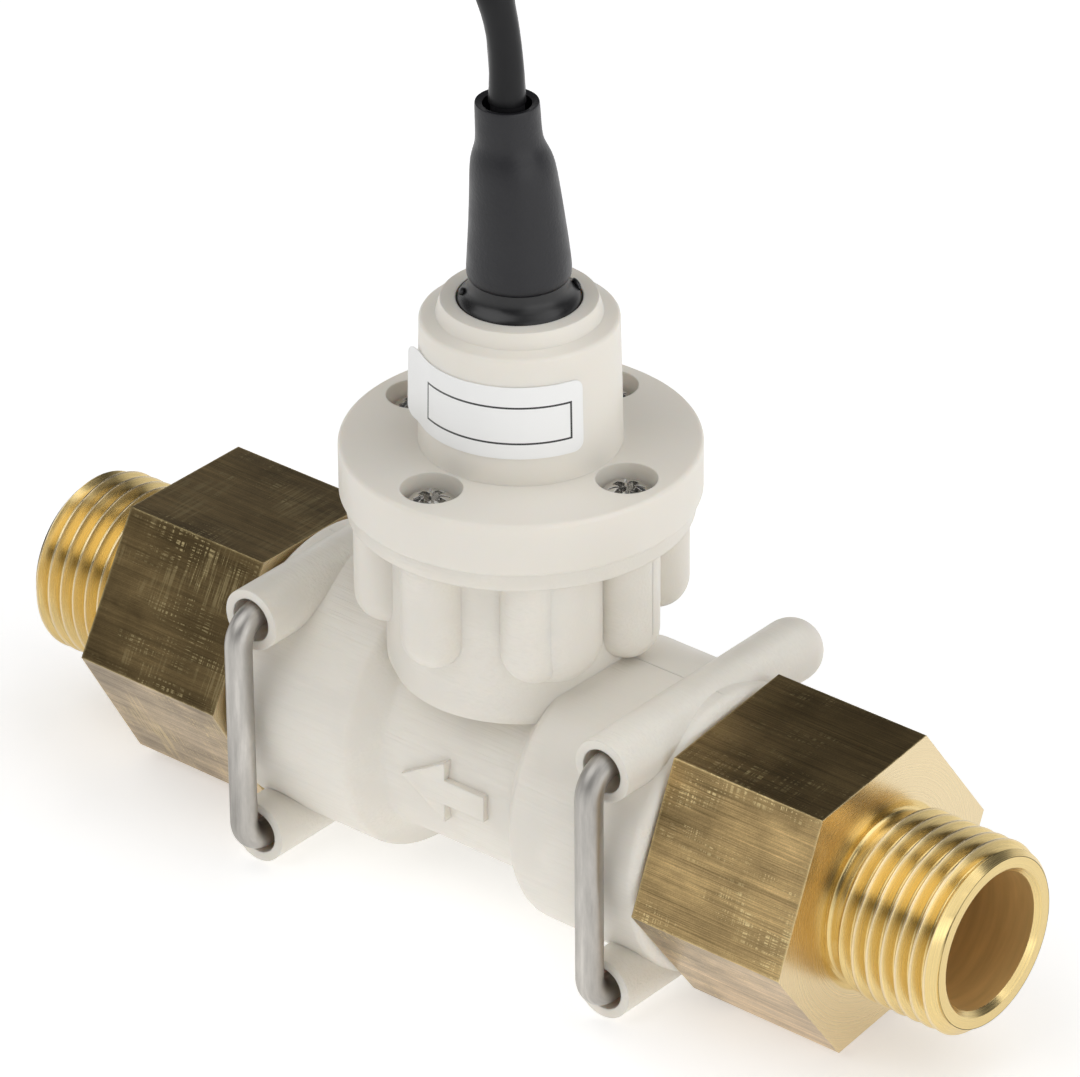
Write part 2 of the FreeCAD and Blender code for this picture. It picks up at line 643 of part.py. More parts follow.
def make_fitting(name, label, turn, outlet):
    """Spigot with seal and clip grooves, hexagon, relieved male thread and through bore."""
    body = new_body(name)
    bore = "Dim.fitting_bore_dia / 2"
    tip = f"{SOCKET_FLOOR} + Dim.seat_gap"
    seal_low = f"{SEAL_X} - Dim.seal_section / 2 - Dim.seal_room"
    seal_high = f"{SEAL_X} + Dim.seal_section / 2 + Dim.seal_room"
    clip_low = f"{CLIP_X} - Dim.wire_dia / 2 - Dim.groove_play"
    clip_high = f"{CLIP_X} + Dim.wire_dia / 2 + Dim.groove_play"
    thread = "Dim.thread_dia / 2"
    hexagon = body.newObject("Sketcher::SketchObject", "HexOutline")
    hexagon.AttachmentSupport = (origin_part(body, "YZ_Plane"), [""])
    hexagon.MapMode = "FlatFace"
    corner = value("Dim.hex_flats") / math.sqrt(3)
    spots = [
        Vector(corner * math.cos(math.radians(60 * i)), corner * math.sin(math.radians(60 * i)), 0)
        for i in range(6)
    ]
    for i in range(6):
        hexagon.addGeometry(Part.LineSegment(spots[i], spots[(i + 1) % 6]))
    hexagon.addGeometry(Part.Circle(Vector(), Vector(0, 0, 1), corner), True)
    for i in range(6):
        hexagon.addConstraint(Sketcher.Constraint("Coincident", i, 2, (i + 1) % 6, 1))
        hexagon.addConstraint(Sketcher.Constraint("PointOnObject", i, 1, 6))
        if i:
            hexagon.addConstraint(Sketcher.Constraint("Equal", 0, i))
    hexagon.addConstraint(Sketcher.Constraint("Coincident", 6, 3, -1, 1))
    hexagon.addConstraint(Sketcher.Constraint("PointOnObject", 0, 1, -1))
    index = hexagon.addConstraint(Sketcher.Constraint("Radius", 6, corner))
    hexagon.setExpression(f"Constraints[{index}]", "Dim.hex_flats / sqrt(3)")
    doc.recompute()
    pad = body.newObject("PartDesign::Pad", "Hexagon")
    pad.Profile = hexagon
    bind(pad, Length=HEX_END)
    doc.recompute()
    # The bar is faced off square at the hexagon's inner end.
    bar = "Dim.hex_flats / sqrt(3) + 1"
    turned(
        body,
        "HexFacing",
        [("-1", "0"), ("-1", bar), (HEX_FACE, bar), (HEX_FACE, "0")],
        cut=True,
    )
    turned(
        body,
        "Turning",
        [
            (tip, "0"),
            (tip, f"{SPIGOT} - 0.8"),
            (f"{tip} + 0.8", SPIGOT),
            (seal_low, SPIGOT),
            (seal_low, SEAL_FLOOR),
            (seal_high, SEAL_FLOOR),
            (seal_high, SPIGOT),
            (clip_low, SPIGOT),
            (clip_low, GROOVE_FLOOR),
            (clip_high, GROOVE_FLOOR),
            (clip_high, SPIGOT),
            (f"{HEX_FACE} + 1", SPIGOT),
            (f"{HEX_FACE} + 1", "Dim.relief_dia / 2"),
            (f"{HEX_END} + Dim.relief_width", "Dim.relief_dia / 2"),
            (f"{HEX_END} + Dim.relief_width + 0.9", thread),
            (f"{FITTING_END} - Dim.thread_chamfer", thread),
            (FITTING_END, f"{thread} - Dim.thread_chamfer"),
            (FITTING_END, "0"),
        ],
    )
    turned(
        body,
        "Bore",
        [
            (f"{tip} - 0.01", "0"),
            (f"{tip} - 0.01", f"{bore} + Dim.bore_chamfer + 0.01"),
            (f"{tip} + Dim.bore_chamfer", bore),
            (f"{FITTING_END} - Dim.bore_chamfer", bore),
            (f"{FITTING_END} + 0.01", f"{bore} + Dim.bore_chamfer + 0.01"),
            (f"{FITTING_END} + 0.01", "0"),
        ],
        cut=True,
    )
    way = Rotation(Vector(0, 0, 1), 180 if outlet else 0)
    body.Placement = Placement(Vector(), way * Rotation(Vector(1, 0, 0), value(turn)))
    return hand_in(body, label)


# --- Spring-wire clips ---------------------------------------------------------------------------

CLIP_FRONT = "(Dim.barrel_dia / 2 + Dim.bow_gap + Dim.wire_dia / 2)"


def make_clip(name, label, side):
    """A wire bent into a U: two legs along Y joined by an upright bow in front."""
    bend, radius = value("Dim.clip_bend"), value("Dim.wire_dia / 2")
    leg, front = value("Dim.leg_z"), value(CLIP_FRONT)
    back = value("Dim.tube_end - Dim.leg_gap") - radius
    x = side * value(CLIP_X)
    turn = bend * (1 - math.sqrt(0.5))
    corners = []
    for level in (1, -1):
        corners.append(
            (
                Vector(x, -front + bend, level * leg),
                Vector(x, -front + turn, level * (leg - turn)),
                Vector(x, -front, level * (leg - bend)),
            )
        )
    upper, lower = corners
    path = Part.Wire(
        [
            Part.LineSegment(Vector(x, back, leg), upper[0]).toShape(),
            Part.Arc(*upper).toShape(),
            Part.LineSegment(upper[2], lower[2]).toShape(),
            Part.Arc(lower[2], lower[1], lower[0]).toShape(),
            Part.LineSegment(lower[0], Vector(x, back, -leg)).toShape(),
        ]
    )
    section = Part.Wire([Part.Circle(Vector(x, back, leg), Vector(0, 1, 0), radius).toShape()])
    wire = path.makePipeShell([section], True, False)
    for level in (1, -1):
        wire = wire.fuse(Part.makeSphere(radius, Vector(x, back, level * leg)))
    clip = doc.addObject("Part::Feature", name)
    clip.Shape = wire.removeSplitter()
    return hand_in(clip, label)


# --- Rotor, straighteners and bearings -----------------------------------------------------------


def make_rotor():
    """Hub with helical blades, bored for its shaft and magnets."""
    body = new_body("Rotor")
    hub, half, shaft = "Dim.rotor_hub_dia / 2", "Dim.rotor_half_length", "Dim.shaft_dia / 2"
    turned(
        body,
        "Hub",
        [
            (f"-{half}", "0"),
            (f"-{half}", f"{hub} - 0.4"),
            (f"-{half} + 0.4", hub),
            (f"{half} - 0.4", hub),
            (half, f"{hub} - 0.4"),
            (half, "0"),
        ],
    )
    wide, thick = "Dim.blade_width / 2", "Dim.blade_thickness"
    section = outline(
        body,
        "BladeSection",
        "XZ_Plane",
        [
            (f"-{wide}", f"{hub} - 0.6"),
            (f"-{wide}", "Dim.blade_dia / 2"),
            (f"-{wide} + {thick}", "Dim.blade_dia / 2"),
            (f"-{wide} + {thick}", f"{hub} - 0.6"),
        ],
    )
    blade = body.newObject("PartDesign::AdditiveHelix", "Blade")
    blade.Profile = section
    blade.ReferenceAxis = (section, ["H_Axis"])
    blade.Mode = 0
    bind(blade, Pitch="Dim.blade_lead", Height=f"Dim.blade_width - {thick}")
    doc.recompute()
    around(body, "Blades", [blade], "Dim.blade_count", axis="X_Axis")
    primitive(
        body,
        "SubtractiveCylinder",
        "ShaftHole",
        turn=ALONG_X,
        at=(f"-{half}", "0", "0"),
        Radius=f"{shaft} + Dim.press_fit",
        Height=f"2 * {half}",
    )
    hole = primitive(
        body,
        "SubtractiveCylinder",
        "MagnetHole",
        turn=ALONG_X,
        at=(f"{half} - Dim.magnet_length", "0", "Dim.magnet_radius"),
        Radius="Dim.magnet_dia / 2 + Dim.press_fit",
        Height="Dim.magnet_length",
    )
    around(body, "MagnetHoles", [hole], "4", axis="X_Axis")
    return hand_in(body, "rotor")


def make_rotor_magnets():
    reach, long = value("Dim.magnet_radius"), value("Dim.magnet_length")
    start, radius = value("Dim.rotor_half_length") - long, value("Dim.magnet_dia / 2")
    magnets = []
    for number in range(4):
        angle = math.radians(90 * number)
        spot = Vector(start, reach * math.sin(angle), reach * math.cos(angle))
        magnets.append(Part.makeCylinder(radius, long, spot, Vector(1, 0, 0)))
    feature = doc.addObject("Part::Feature", "RotorMagnets")
    feature.Shape = Part.makeCompound(magnets)
    return hand_in(feature, "rotor_magnets")


def make_rotor_shaft():
    shaft = doc.addObject("Part::Cylinder", "RotorShaft")
    shaft.Placement = Placement(Vector(), ALONG_X)
    bind(
        shaft,
        Radius="Dim.shaft_dia / 2",
        Height="2 * Dim.shaft_half_length",
        Placement__Base__x="-Dim.shaft_half_length",
    )
    return hand_in(shaft, "rotor_shaft")


def make_straightener(name, label, outlet):
    """Ring, vanes and a bullet-nosed hub that carries a bearing cup."""
    body = new_body(name)
    seat, inner = SOCKET_FLOOR, f"({SOCKET_FLOOR} - Dim.carrier_width)"
    outside, inside = "Dim.carrier_dia / 2 - Dim.spigot_fit", "Dim.flow_bore_dia / 2"
    hub, reach, cup = "Dim.carrier_hub_dia / 2", "Dim.carrier_reach", "Dim.bearing_dia / 2"
    turned(
        body,
        "Ring",
        [(inner, inside), (inner, outside), (seat, outside), (seat, inside)],
    )
    turned(
        body,
        "HubTurning",
        [
            (reach, f"{cup} + Dim.press_fit"),
            (reach, hub),
            (f"{seat} + 1.5", hub),
            (f"{seat} + 4", f"0.72 * {hub}"),
            (f"{seat} + 5.2", f"0.3 * {hub}"),
            (f"{seat} + 5.4", "0"),
            (f"{reach} + Dim.bearing_length", "0"),
            (f"{reach} + Dim.bearing_length", f"{cup} + Dim.press_fit"),
        ],
    )
    vane = primitive(
        body,
        "AdditiveBox",
        "Vane",
        at=(f"{reach} + 1.2", "-Dim.vane_thickness / 2", f"{hub} - 0.3"),
        Length=f"{seat} - {reach} - 1.2",
        Width="Dim.vane_thickness",
        Height=f"{inside} - Dim.spigot_fit - {hub} + 0.3",
    )
    foot = primitive(
        body,
        "AdditiveBox",
        "VaneFoot",
        at=(inner, "-Dim.vane_thickness / 2", f"{inside} - 1"),
        Length="Dim.carrier_width",
        Width="Dim.vane_thickness",
        Height="1.5",
    )
    around(body, "Vanes", [vane, foot], "Dim.carrier_vanes", axis="X_Axis")
    if outlet:
        body.Placement = Placement(Vector(), Rotation(Vector(0, 0, 1), 180))
    return hand_in(body, label)


def make_bearing(name, label, outlet):
    """A blind cup pushed into the straightener's hub."""
    body = new_body(name)
    reach, bore = "Dim.carrier_reach", "Dim.shaft_dia / 2 + Dim.shaft_fit"
    floor = "Dim.shaft_half_length + 0.3"
    turned(
        body,
        "Cup",
        [
            (reach, bore),
            (reach, "Dim.bearing_dia / 2"),
            (f"{reach} + Dim.bearing_length", "Dim.bearing_dia / 2"),
            (f"{reach} + Dim.bearing_length", "0"),
            (floor, "0"),
            (floor, bore),
        ],
    )
    if outlet:
        body.Placement = Placement(Vector(), Rotation(Vector(0, 0, 1), 180))
    return hand_in(body, label)


# --- Sensor in the well --------------------------------------------------------------------------


def make_sensor_board():
    board = doc.addObject("Part::Cylinder", "SensorBoard")
    bind(board, Radius="Dim.well_dia / 2 - Dim.board_fit", Height="Dim.board_thickness")
    return hand_in(board, "sensor_board", lift=f"Dim.board_ledge + {AXIS_HEIGHT}")


def box(name, at, long, wide, high):
    """A plain block whose low corner and sides are expressions."""
    block = doc.addObject("Part::Box", name)
    bind(block, Length=long, Width=wide, Height=high)
    for letter, expression in zip("xyz", at):
        block.setExpression(f"Placement.Base.{letter}", expression)
    return block


def make_hall_sensor():
    """The magnetic switch, hanging from the board by its three leads."""
    low = "Dim.well_floor + 0.25"
    pieces = [
        box(
            "ChipBody",
            ("-Dim.chip_width / 2", "-Dim.chip_thickness / 2", low),
            "Dim.chip_width",
            "Dim.chip_thickness",
            "Dim.chip_height",
        )
    ]
    for number in (-1, 0, 1):
        pieces.append(
            box(
                f"ChipLead{number + 2}",
                (
                    f"{number} * Dim.lead_pitch - Dim.lead_width / 2",
                    "-Dim.lead_width / 2",
                    f"{low} + Dim.chip_height - 0.2",
                ),
                "Dim.lead_width",
                "Dim.lead_width",
                f"Dim.board_ledge - ({low}) - Dim.chip_height + 0.2",
            )
        )
    chip = doc.addObject("Part::MultiFuse", "HallSensor")
    chip.Shapes = pieces
    return hand_in(chip, "hall_sensor")


def make_board_parts():
    """Resistor, capacitor and protection diode on top of the board."""
    top = "Dim.board_ledge + Dim.board_thickness"
    long, wide, off = "Dim.smd_length", "Dim.smd_width", "Dim.smd_offset"
    pieces = [
        box("Resistor", (f"-{off}", f"-{wide} - Dim.smd_gap", top), long, wide, "Dim.resistor_height"),
        box("Capacitor", (f"-{off}", "Dim.smd_gap", top), long, wide, "Dim.capacitor_height"),
        box("Diode", (f"{off} - {long}", f"-{wide} / 2", top), long, wide, "Dim.diode_height"),
    ]
    group = doc.addObject("Part::Compound", "BoardParts")
    group.Links = pieces
    return hand_in(group, "board_parts")


def make_core_wires():
    """The cable's three cores, from the jacket's end down to the board."""
    low = value("Dim.board_ledge + Dim.board_thickness")
    cores = core_bundle(Vector(0, 0, low), value(JACKET_END) - low)
    feature = doc.addObject("Part::Feature", "CoreWires")
    feature.Shape = cores
    return hand_in(feature, "core_wires")


def core_bundle(start, length):
    """Three insulated cores side by side in a triangle, standing on a point."""
    reach, radius = value("Dim.core_radius"), value("Dim.core_dia / 2")
    cores = []
    for number in range(3):
        angle = math.radians(120 * number + 90)
        spot = start + Vector(reach * math.cos(angle), reach * math.sin(angle), 0)
        cores.append(Part.makeCylinder(radius, length, spot))
    return Part.makeCompound(cores)


# --- Grommet, sleeve and cable -------------------------------------------------------------------


def make_grommet():
    body = new_body("CableGrommet")
    hole, outside = "Dim.cable_dia / 2 + Dim.cable_fit", "Dim.gland_dia / 2 - Dim.grommet_fit"
    skirt = "Dim.neck_bore_dia / 2 - Dim.skirt_fit"
    turned(
        body,
        "GrommetTurning",
        [
            (hole, SKIRT),
            (skirt, SKIRT),
            (skirt, LEDGE),
            (outside, LEDGE),
            (outside, f"{RIM} - 0.1"),
            ("Dim.collar_dia / 2", f"{RIM} + Dim.collar_cone"),
            ("Dim.collar_dia / 2", COLLAR),
            ("Dim.stem_dia / 2", COLLAR),
            ("Dim.stem_dia / 2 - 0.3", f"{COLLAR} + Dim.stem_height"),
            (hole, f"{COLLAR} + Dim.stem_height"),
        ],
        about="Z",
    )
    return hand_in(body, "cable_grommet")


# The sleeve's sections: share of its height, outside radius, share of its lean.
SLEEVE_SECTIONS = (
    (0.0, 5.45, 0.0),
    (0.2, 5.17, 0.04),
    (0.45, 4.86, 0.2),
    (0.60, 4.55, 0.42),
    (0.69, 4.2, 0.6),
    (0.75, 3.72, 0.74),
    (0.79, 3.44, 0.84),
    (1.0, 3.35, 1.0),
)


def make_sleeve():
    """Shrunk sleeve over the grommet's stem, necked down and leaning towards its mouth."""
    lean = Vector(math.cos(LEAN_ANGLE), math.sin(LEAN_ANGLE), 0)
    low, high, off = value(COLLAR), value("Dim.sleeve_height"), value("Dim.sleeve_lean")
    wall, stem = value("Dim.sleeve_wall"), value("Dim.stem_dia / 2")
    skins = []
    for inside in (False, True):
        rings = []
        for share, radius, shift in SLEEVE_SECTIONS:
            if inside:
                radius = max(radius - wall, 0)
                radius = min(radius, stem + 0.25) if share < 0.6 else radius
            spot = lean * (off * shift) + Vector(0, 0, low + high * share)
            rings.append(Part.Wire([Part.Circle(spot, Vector(0, 0, 1), radius).toShape()]))
        skins.append(Part.makeLoft(rings, True, True))
    sleeve = doc.addObject("Part::Feature", "CableSleeve")
    sleeve.Shape = skins[0].cut(skins[1])
    return hand_in(sleeve, "cable_sleeve")


def cord_path(points):
    """Straight runs joined by tangent arcs, each as large as its two runs allow."""
    points = [Vector(*point) for point in points]
    edges, radii, start = [], [], points[0]
    for before, corner, after in zip(points, points[1:], points[2:]):
        into, out = (corner - before), (after - corner)
        shorter = min(into.Length, out.Length)
        turn = into.getAngle(out)
        back = 0.45 * shorter
        radii.append(back / math.tan(turn / 2))
        into.normalize()
        out.normalize()
        first, last = corner - into * back, corner + out * back
        inward = (out - into).normalize()
        sagitta = radii[-1] * (1 / math.cos(turn / 2) - 1)
        edges.append(Part.LineSegment(start, first).toShape())
        edges.append(Part.Arc(first, corner + inward * sagitta, last).toShape())
        start = last
    edges.append(Part.LineSegment(start, points[-1]).toShape())
    return Part.Wire(edges), radii


def tube(points, radius):
    """A round tube along a route; prints its length, its radii and its volume's agreement."""
    path, radii = cord_path(points)
    way = Vector(*points[1]) - Vector(*points[0])
    section = Part.Wire([Part.Circle(Vector(*points[0]), way, radius).toShape()])
    solid = path.makePipeShell([section], True, False)
    want = math.pi * radius**2 * path.Length
    print(f"tube length {path.Length:.1f}, volume ratio {solid.Volume / want:.4f}, radii", end=" ")
    print(", ".join(f"{r:.1f}" for r in radii))
    return solid


def make_cable_entry():
    """The jacket's stretch inside the cap, the grommet and the sleeve."""
    lift = value(AXIS_HEIGHT)
    mouth = Vector(*CABLE_ROUTE[0]) - Vector(0, 0, lift)
    low = Vector(0, 0, value(JACKET_END))
    bend = Vector(0, 0, value(f"{COLLAR} + Dim.stem_height"))
    feature = doc.addObject("Part::Feature", "CableEntry")
    feature.Shape = tube([tuple(low), tuple(bend), tuple(mouth)], value("Dim.cable_dia / 2"))
    return hand_in(feature, "cable_entry")


def make_retainer():
    body = new_body("CableRetainer")
    turned(
        body,
        "RetainerRing",
        [
            ("Dim.cable_dia / 2 + Dim.press_fit", RETAINER_LOW),
            ("Dim.retainer_dia / 2", RETAINER_LOW),
            ("Dim.retainer_dia / 2", SKIRT),
            ("Dim.cable_dia / 2 + Dim.press_fit", SKIRT),
        ],
        about="Z",
    )
    return hand_in(body, "cable_retainer")


def make_cable_run():
    feature = doc.addObject("Part::Feature", "CableRun")
    feature.Shape = tube(CABLE_ROUTE, value("Dim.cable_dia / 2"))
    return hand_in(feature, "cable_run", lift="0")


def loop_face(centre, radius, neck):
    """A loop that narrows from a circle to the line between two neck points (one may repeat)."""
    upper, lower = neck
    touches = []
    for spot, sign in ((upper, 1), (lower, -1)):
        line = spot - centre
        opening = math.acos(radius / line.Length)
        angle = math.atan2(line.y, line.x) + sign * opening
        touches.append(centre + Vector(radius * math.cos(angle), radius * math.sin(angle), 0))
    away = centre - (upper + lower) * 0.5
    far = centre + away.normalize() * radius
    edges = [
        Part.LineSegment(upper, touches[0]).toShape(),
        Part.Arc(touches[0], far, touches[1]).toShape(),
        Part.LineSegment(touches[1], lower).toShape(),
    ]
    if upper.distanceToPoint(lower) > 1e-6:
        edges.append(Part.LineSegment(lower, upper).toShape())
    return Part.Face(Part.Wire(edges))


def make_hank():
    """The stored length: turns laid on each other as two end loops with a tied neck."""
    cable, fold = value("Dim.cable_dia"), value("Dim.fold_radius")
    middle = Vector(value("Dim.hank_x"), value("Dim.hank_y"), 0)
    high = cable * value("Dim.hank_layers")
    solid = None
    for side in (-1, 1):
        centre = middle + Vector(side * value("Dim.hank_spread") / 2, 0, 0)
        width = Vector(0, side * -cable, 0)
        outer = loop_face(centre, fold + cable / 2, (middle + width, middle - width))
        tip = middle + Vector(side * cable, 0, 0)
        inner = loop_face(centre, fold - cable / 2, (tip, tip))
        lobe = outer.extrude(Vector(0, 0, high)).cut(inner.extrude(Vector(0, 0, high)))
        solid = lobe if solid is None else solid.fuse(lobe)
    end, before = Vector(*CABLE_ROUTE[-1]), Vector(*CABLE_ROUTE[-2])
    heading = (end - before).normalize()
    sunk = value("Dim.pad_sink")
    pad = Part.makeBox(value("Dim.pad_length"), cable, cable + sunk)
    pad.translate(Vector(0, -cable / 2, high - sunk))
    pad.rotate(Vector(), Vector(0, 0, 1), math.degrees(math.atan2(heading.y, heading.x)))
    pad.translate(Vector(end.x, end.y, 0))
    hank = doc.addObject("Part::Feature", "CableHank")
    hank.Shape = solid.fuse(pad).removeSplitter()
    return hand_in(hank, "cable_hank", lift="Dim.tie_thickness")


def make_tie():
    cable, thick, wide = value("Dim.cable_dia"), value("Dim.tie_thickness"), value("Dim.tie_width")
    high = cable * value("Dim.hank_layers")
    slope = 0.9
    outer = Part.makeBox(wide, 2 * (cable + slope + thick), high + 2 * thick)
    outer.translate(Vector(-wide / 2, -(cable + slope + thick), 0))
    inner = Part.makeBox(wide, 2 * (cable + slope), high)
    inner.translate(Vector(-wide / 2, -(cable + slope), thick))
    tie = doc.addObject("Part::Feature", "HankTie")
    band = outer.cut(inner)
    band.translate(Vector(value("Dim.hank_x"), value("Dim.hank_y"), 0))
    tie.Shape = band
    return hand_in(tie, "hank_tie", lift="0")


def make_lead_ends():
    """Three bare cores out of the jacket's end, lying across one end loop, with tinned tips."""
    centre = Vector(value("Dim.hank_x + Dim.hank_spread / 2"), value("Dim.hank_y"), 0)
    inside = value("Dim.fold_radius - Dim.cable_dia / 2")
    radius, gap = value("Dim.core_dia / 2"), value("2 * Dim.core_radius")
    height = value("Dim.tie_thickness") + radius
    way = Vector(math.cos(LEAD_HEADING), math.sin(LEAD_HEADING), 0)
    across = Vector(-way.y, way.x, 0)
    root = centre + Vector(math.cos(LEAD_ROOT), math.sin(LEAD_ROOT), 0) * (inside + 0.4)
    bare, tinned = value("Dim.bare_core_length"), value("Dim.tinned_length")
    wires, tips = [], []
    for number in (-1, 0, 1):
        start = root + across * (number * gap) + Vector(0, 0, height)
        wires.append(Part.makeCylinder(radius, bare - tinned, start, way))
        start = start + way * (bare - tinned)
        tips.append(Part.makeCylinder(0.7 * radius, tinned, start, way))
    made = []
    for name, label, pieces in (("LeadWires", "lead_wires", wires), ("LeadTips", "lead_tips", tips)):
        feature = doc.addObject("Part::Feature", name)
        feature.Shape = Part.makeCompound(pieces)
        made.append(hand_in(feature, label, lift="0"))
    return made


# --- Build, check and write ----------------------------------------------------------------------

make_flow_body()
make_sensor_cap()
make_cap_screws()
ring(
    "CapRing",
    "cap_o_ring",
    "Dim.well_dia / 2 - Dim.seal_play - Dim.ring_section / 2",
    "Dim.ring_section",
    "Z",
    "Dim.turret_top - Dim.plug_length + 1.35 + Dim.ring_section / 2",
)
make_fitting("InletFitting", "inlet_fitting", "Dim.inlet_turn", outlet=False)
make_fitting("OutletFitting", "outlet_fitting", "Dim.outlet_turn", outlet=True)
SEAL_RADIUS = "Dim.socket_dia / 2 - Dim.seal_play - Dim.seal_section / 2"
ring("InletRing", "inlet_o_ring", SEAL_RADIUS, "Dim.seal_section", "X", SEAL_X)
ring("OutletRing", "outlet_o_ring", SEAL_RADIUS, "Dim.seal_section", "X", f"-{SEAL_X}")
make_clip("InletClip", "inlet_clip", 1)
make_clip("OutletClip", "outlet_clip", -1)
make_straightener("InletStraightener", "inlet_straightener", outlet=False)
make_straightener("OutletStraightener", "outlet_straightener", outlet=True)
make_bearing("InletBearing", "inlet_bearing", outlet=False)
make_bearing("OutletBearing", "outlet_bearing", outlet=True)
make_rotor()
make_rotor_magnets()
make_rotor_shaft()
make_sensor_board()
make_hall_sensor()
make_board_parts()
make_core_wires()
make_grommet()
make_sleeve()
make_cable_entry()
make_retainer()
make_cable_run()
make_hank()
make_tie()
make_lead_ends()
doc.recompute()

faults = [o.Name for o in doc.Objects if "Invalid" in o.State or "Error" in o.State]
faults += [p.Label for p in parts if p.Shape.isNull() or not p.Shape.isValid()]
if faults:
    raise RuntimeError("failed: " + ", ".join(faults))

os.makedirs("parts", exist_ok=True)
for part in parts:
    part.Shape.exportStep(f"parts/{part.Label}.step")
    print(f"{part.Label:22s} solids {len(part.Shape.Solids)}  volume {part.Shape.Volume:10.2f}")
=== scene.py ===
"""Turbine flow meter: the finish of its moulded, brass, wire and rubber pieces, and its cable."""
import json
import math

import bpy
from mathutils import Matrix, Vector


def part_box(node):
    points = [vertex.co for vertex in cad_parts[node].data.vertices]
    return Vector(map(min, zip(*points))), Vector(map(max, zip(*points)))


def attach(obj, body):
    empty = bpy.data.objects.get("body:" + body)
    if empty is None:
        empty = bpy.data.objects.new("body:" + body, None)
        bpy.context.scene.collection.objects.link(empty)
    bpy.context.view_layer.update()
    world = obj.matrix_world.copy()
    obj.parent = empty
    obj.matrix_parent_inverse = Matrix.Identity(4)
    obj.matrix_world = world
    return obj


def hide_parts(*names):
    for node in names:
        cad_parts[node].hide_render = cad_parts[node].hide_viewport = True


bl_info = {
    "name": "Turbine Flow Meter",
    "version": (1, 0, 0),
    "blender": (4, 5, 0),
    "location": "View3D > Sidebar > Flow Meter",
    "description": "Dresses the packed turbine flow meter and sets its stage",
    "category": "Object",
}

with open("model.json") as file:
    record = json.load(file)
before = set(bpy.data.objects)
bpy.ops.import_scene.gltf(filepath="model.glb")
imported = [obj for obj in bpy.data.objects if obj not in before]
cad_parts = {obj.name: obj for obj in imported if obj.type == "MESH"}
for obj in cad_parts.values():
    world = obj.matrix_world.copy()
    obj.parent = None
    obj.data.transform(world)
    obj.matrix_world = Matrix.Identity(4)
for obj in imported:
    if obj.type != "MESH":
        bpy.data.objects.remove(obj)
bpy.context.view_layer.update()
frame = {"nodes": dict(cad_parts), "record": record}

MM = 0.001
HOUSING = "housing"

# The pipe axis stands at the height of the threaded ends' mounts.
MOUNTS = {mount["name"]: mount for mount in frame["record"]["mounts"]}
PIPE = Vector((0, 0, MOUNTS["inlet_thread"]["pos_m"][2]))
THREAD_RADIUS = MOUNTS["inlet_thread"]["dims"]["r_mm"] * MM
FITTING_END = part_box("inlet_fitting")[1].x

# How close two corners of a mesh have to be to be joined, and how many sides a lathed piece has.
WELD = 0.002 * MM
LATHE_SIDES = 72

# The cable's route from the sleeve's mouth, where it starts upright, over and down to the hank.
CABLE_ROUTE = (
    (-0.00081, -0.00068, 0.0924), (-0.00066, -0.00056, 0.0990), (-0.00265, -0.00223, 0.1088),
    (-0.0111, 0.0085, 0.1219), (-0.0239, 0.0228, 0.1222), (-0.0324, 0.0329, 0.1086),
    (-0.0321, 0.03385, 0.0892), (-0.0303, 0.0347, 0.0669), (-0.0321, 0.0330, 0.0435),
    (-0.0323, 0.0305, 0.0235), (-0.0276, 0.0273, 0.01445), (-0.01925, 0.0230, 0.00925),
    (-0.0095, 0.0186, 0.00925),
)

# The cable's width at the first points of its route, as a share of its diameter.
CABLE_WIDTHS = {0: 1.12, 1: 0.88, 2: 1.3, 3: 1.12}

# The cable's last stretch, off the hank's lowest turn in a wide bend inside its right-hand loop.
CABLE_END = (
    (-0.0190, 0.0229, 0.00225), (-0.0150, 0.0211, 0.00225), (-0.0115, 0.0196, 0.00225),
    (-0.0074, 0.0194, 0.00225), (-0.0035, 0.02065, 0.00205), (-0.00195, 0.0219, 0.00190),
)

# The sleeve's rings: share of its height, outside radius in millimetres, share of its lean.
SLEEVE_RINGS = (
    (0.0, 5.18, 0.0), (0.012, 5.40, 0.0), (0.04, 5.50, 0.0), (0.2, 5.20, 0.05),
    (0.45, 4.74, 0.28), (0.60, 4.50, 0.46), (0.67, 4.30, 0.58), (0.72, 3.95, 0.68),
    (0.765, 3.56, 0.78), (0.81, 3.42, 0.86), (0.9, 3.37, 0.93), (0.985, 3.35, 0.99),
    (1.0, 3.28, 1.0),
)

# The grommet's outline, bore to bore: height above the cap's rim and radius, in millimetres.
GROMMET_RINGS = (
    (-6.2, 1.8), (-6.2, 5.4), (-4.2, 5.4), (-4.2, 6.5), (-0.45, 6.5), (-0.15, 6.46),
    (0.12, 6.32), (0.38, 6.08), (0.62, 5.8), (0.95, 5.5), (1.35, 5.32), (1.75, 5.24),
    (2.5, 5.2), (2.5, 3.6), (9.7, 3.3), (9.7, 1.8), (-6.2, 1.8),
)

# --- What a user would change ---


def colour_property(name, note, default):
    return bpy.props.FloatVectorProperty(
        name=name, description=note, subtype="COLOR", size=3, min=0, max=1, default=default
    )


def length_property(name, note, default):
    return bpy.props.FloatProperty(
        name=name, description=note, subtype="DISTANCE", unit="LENGTH", default=default
    )


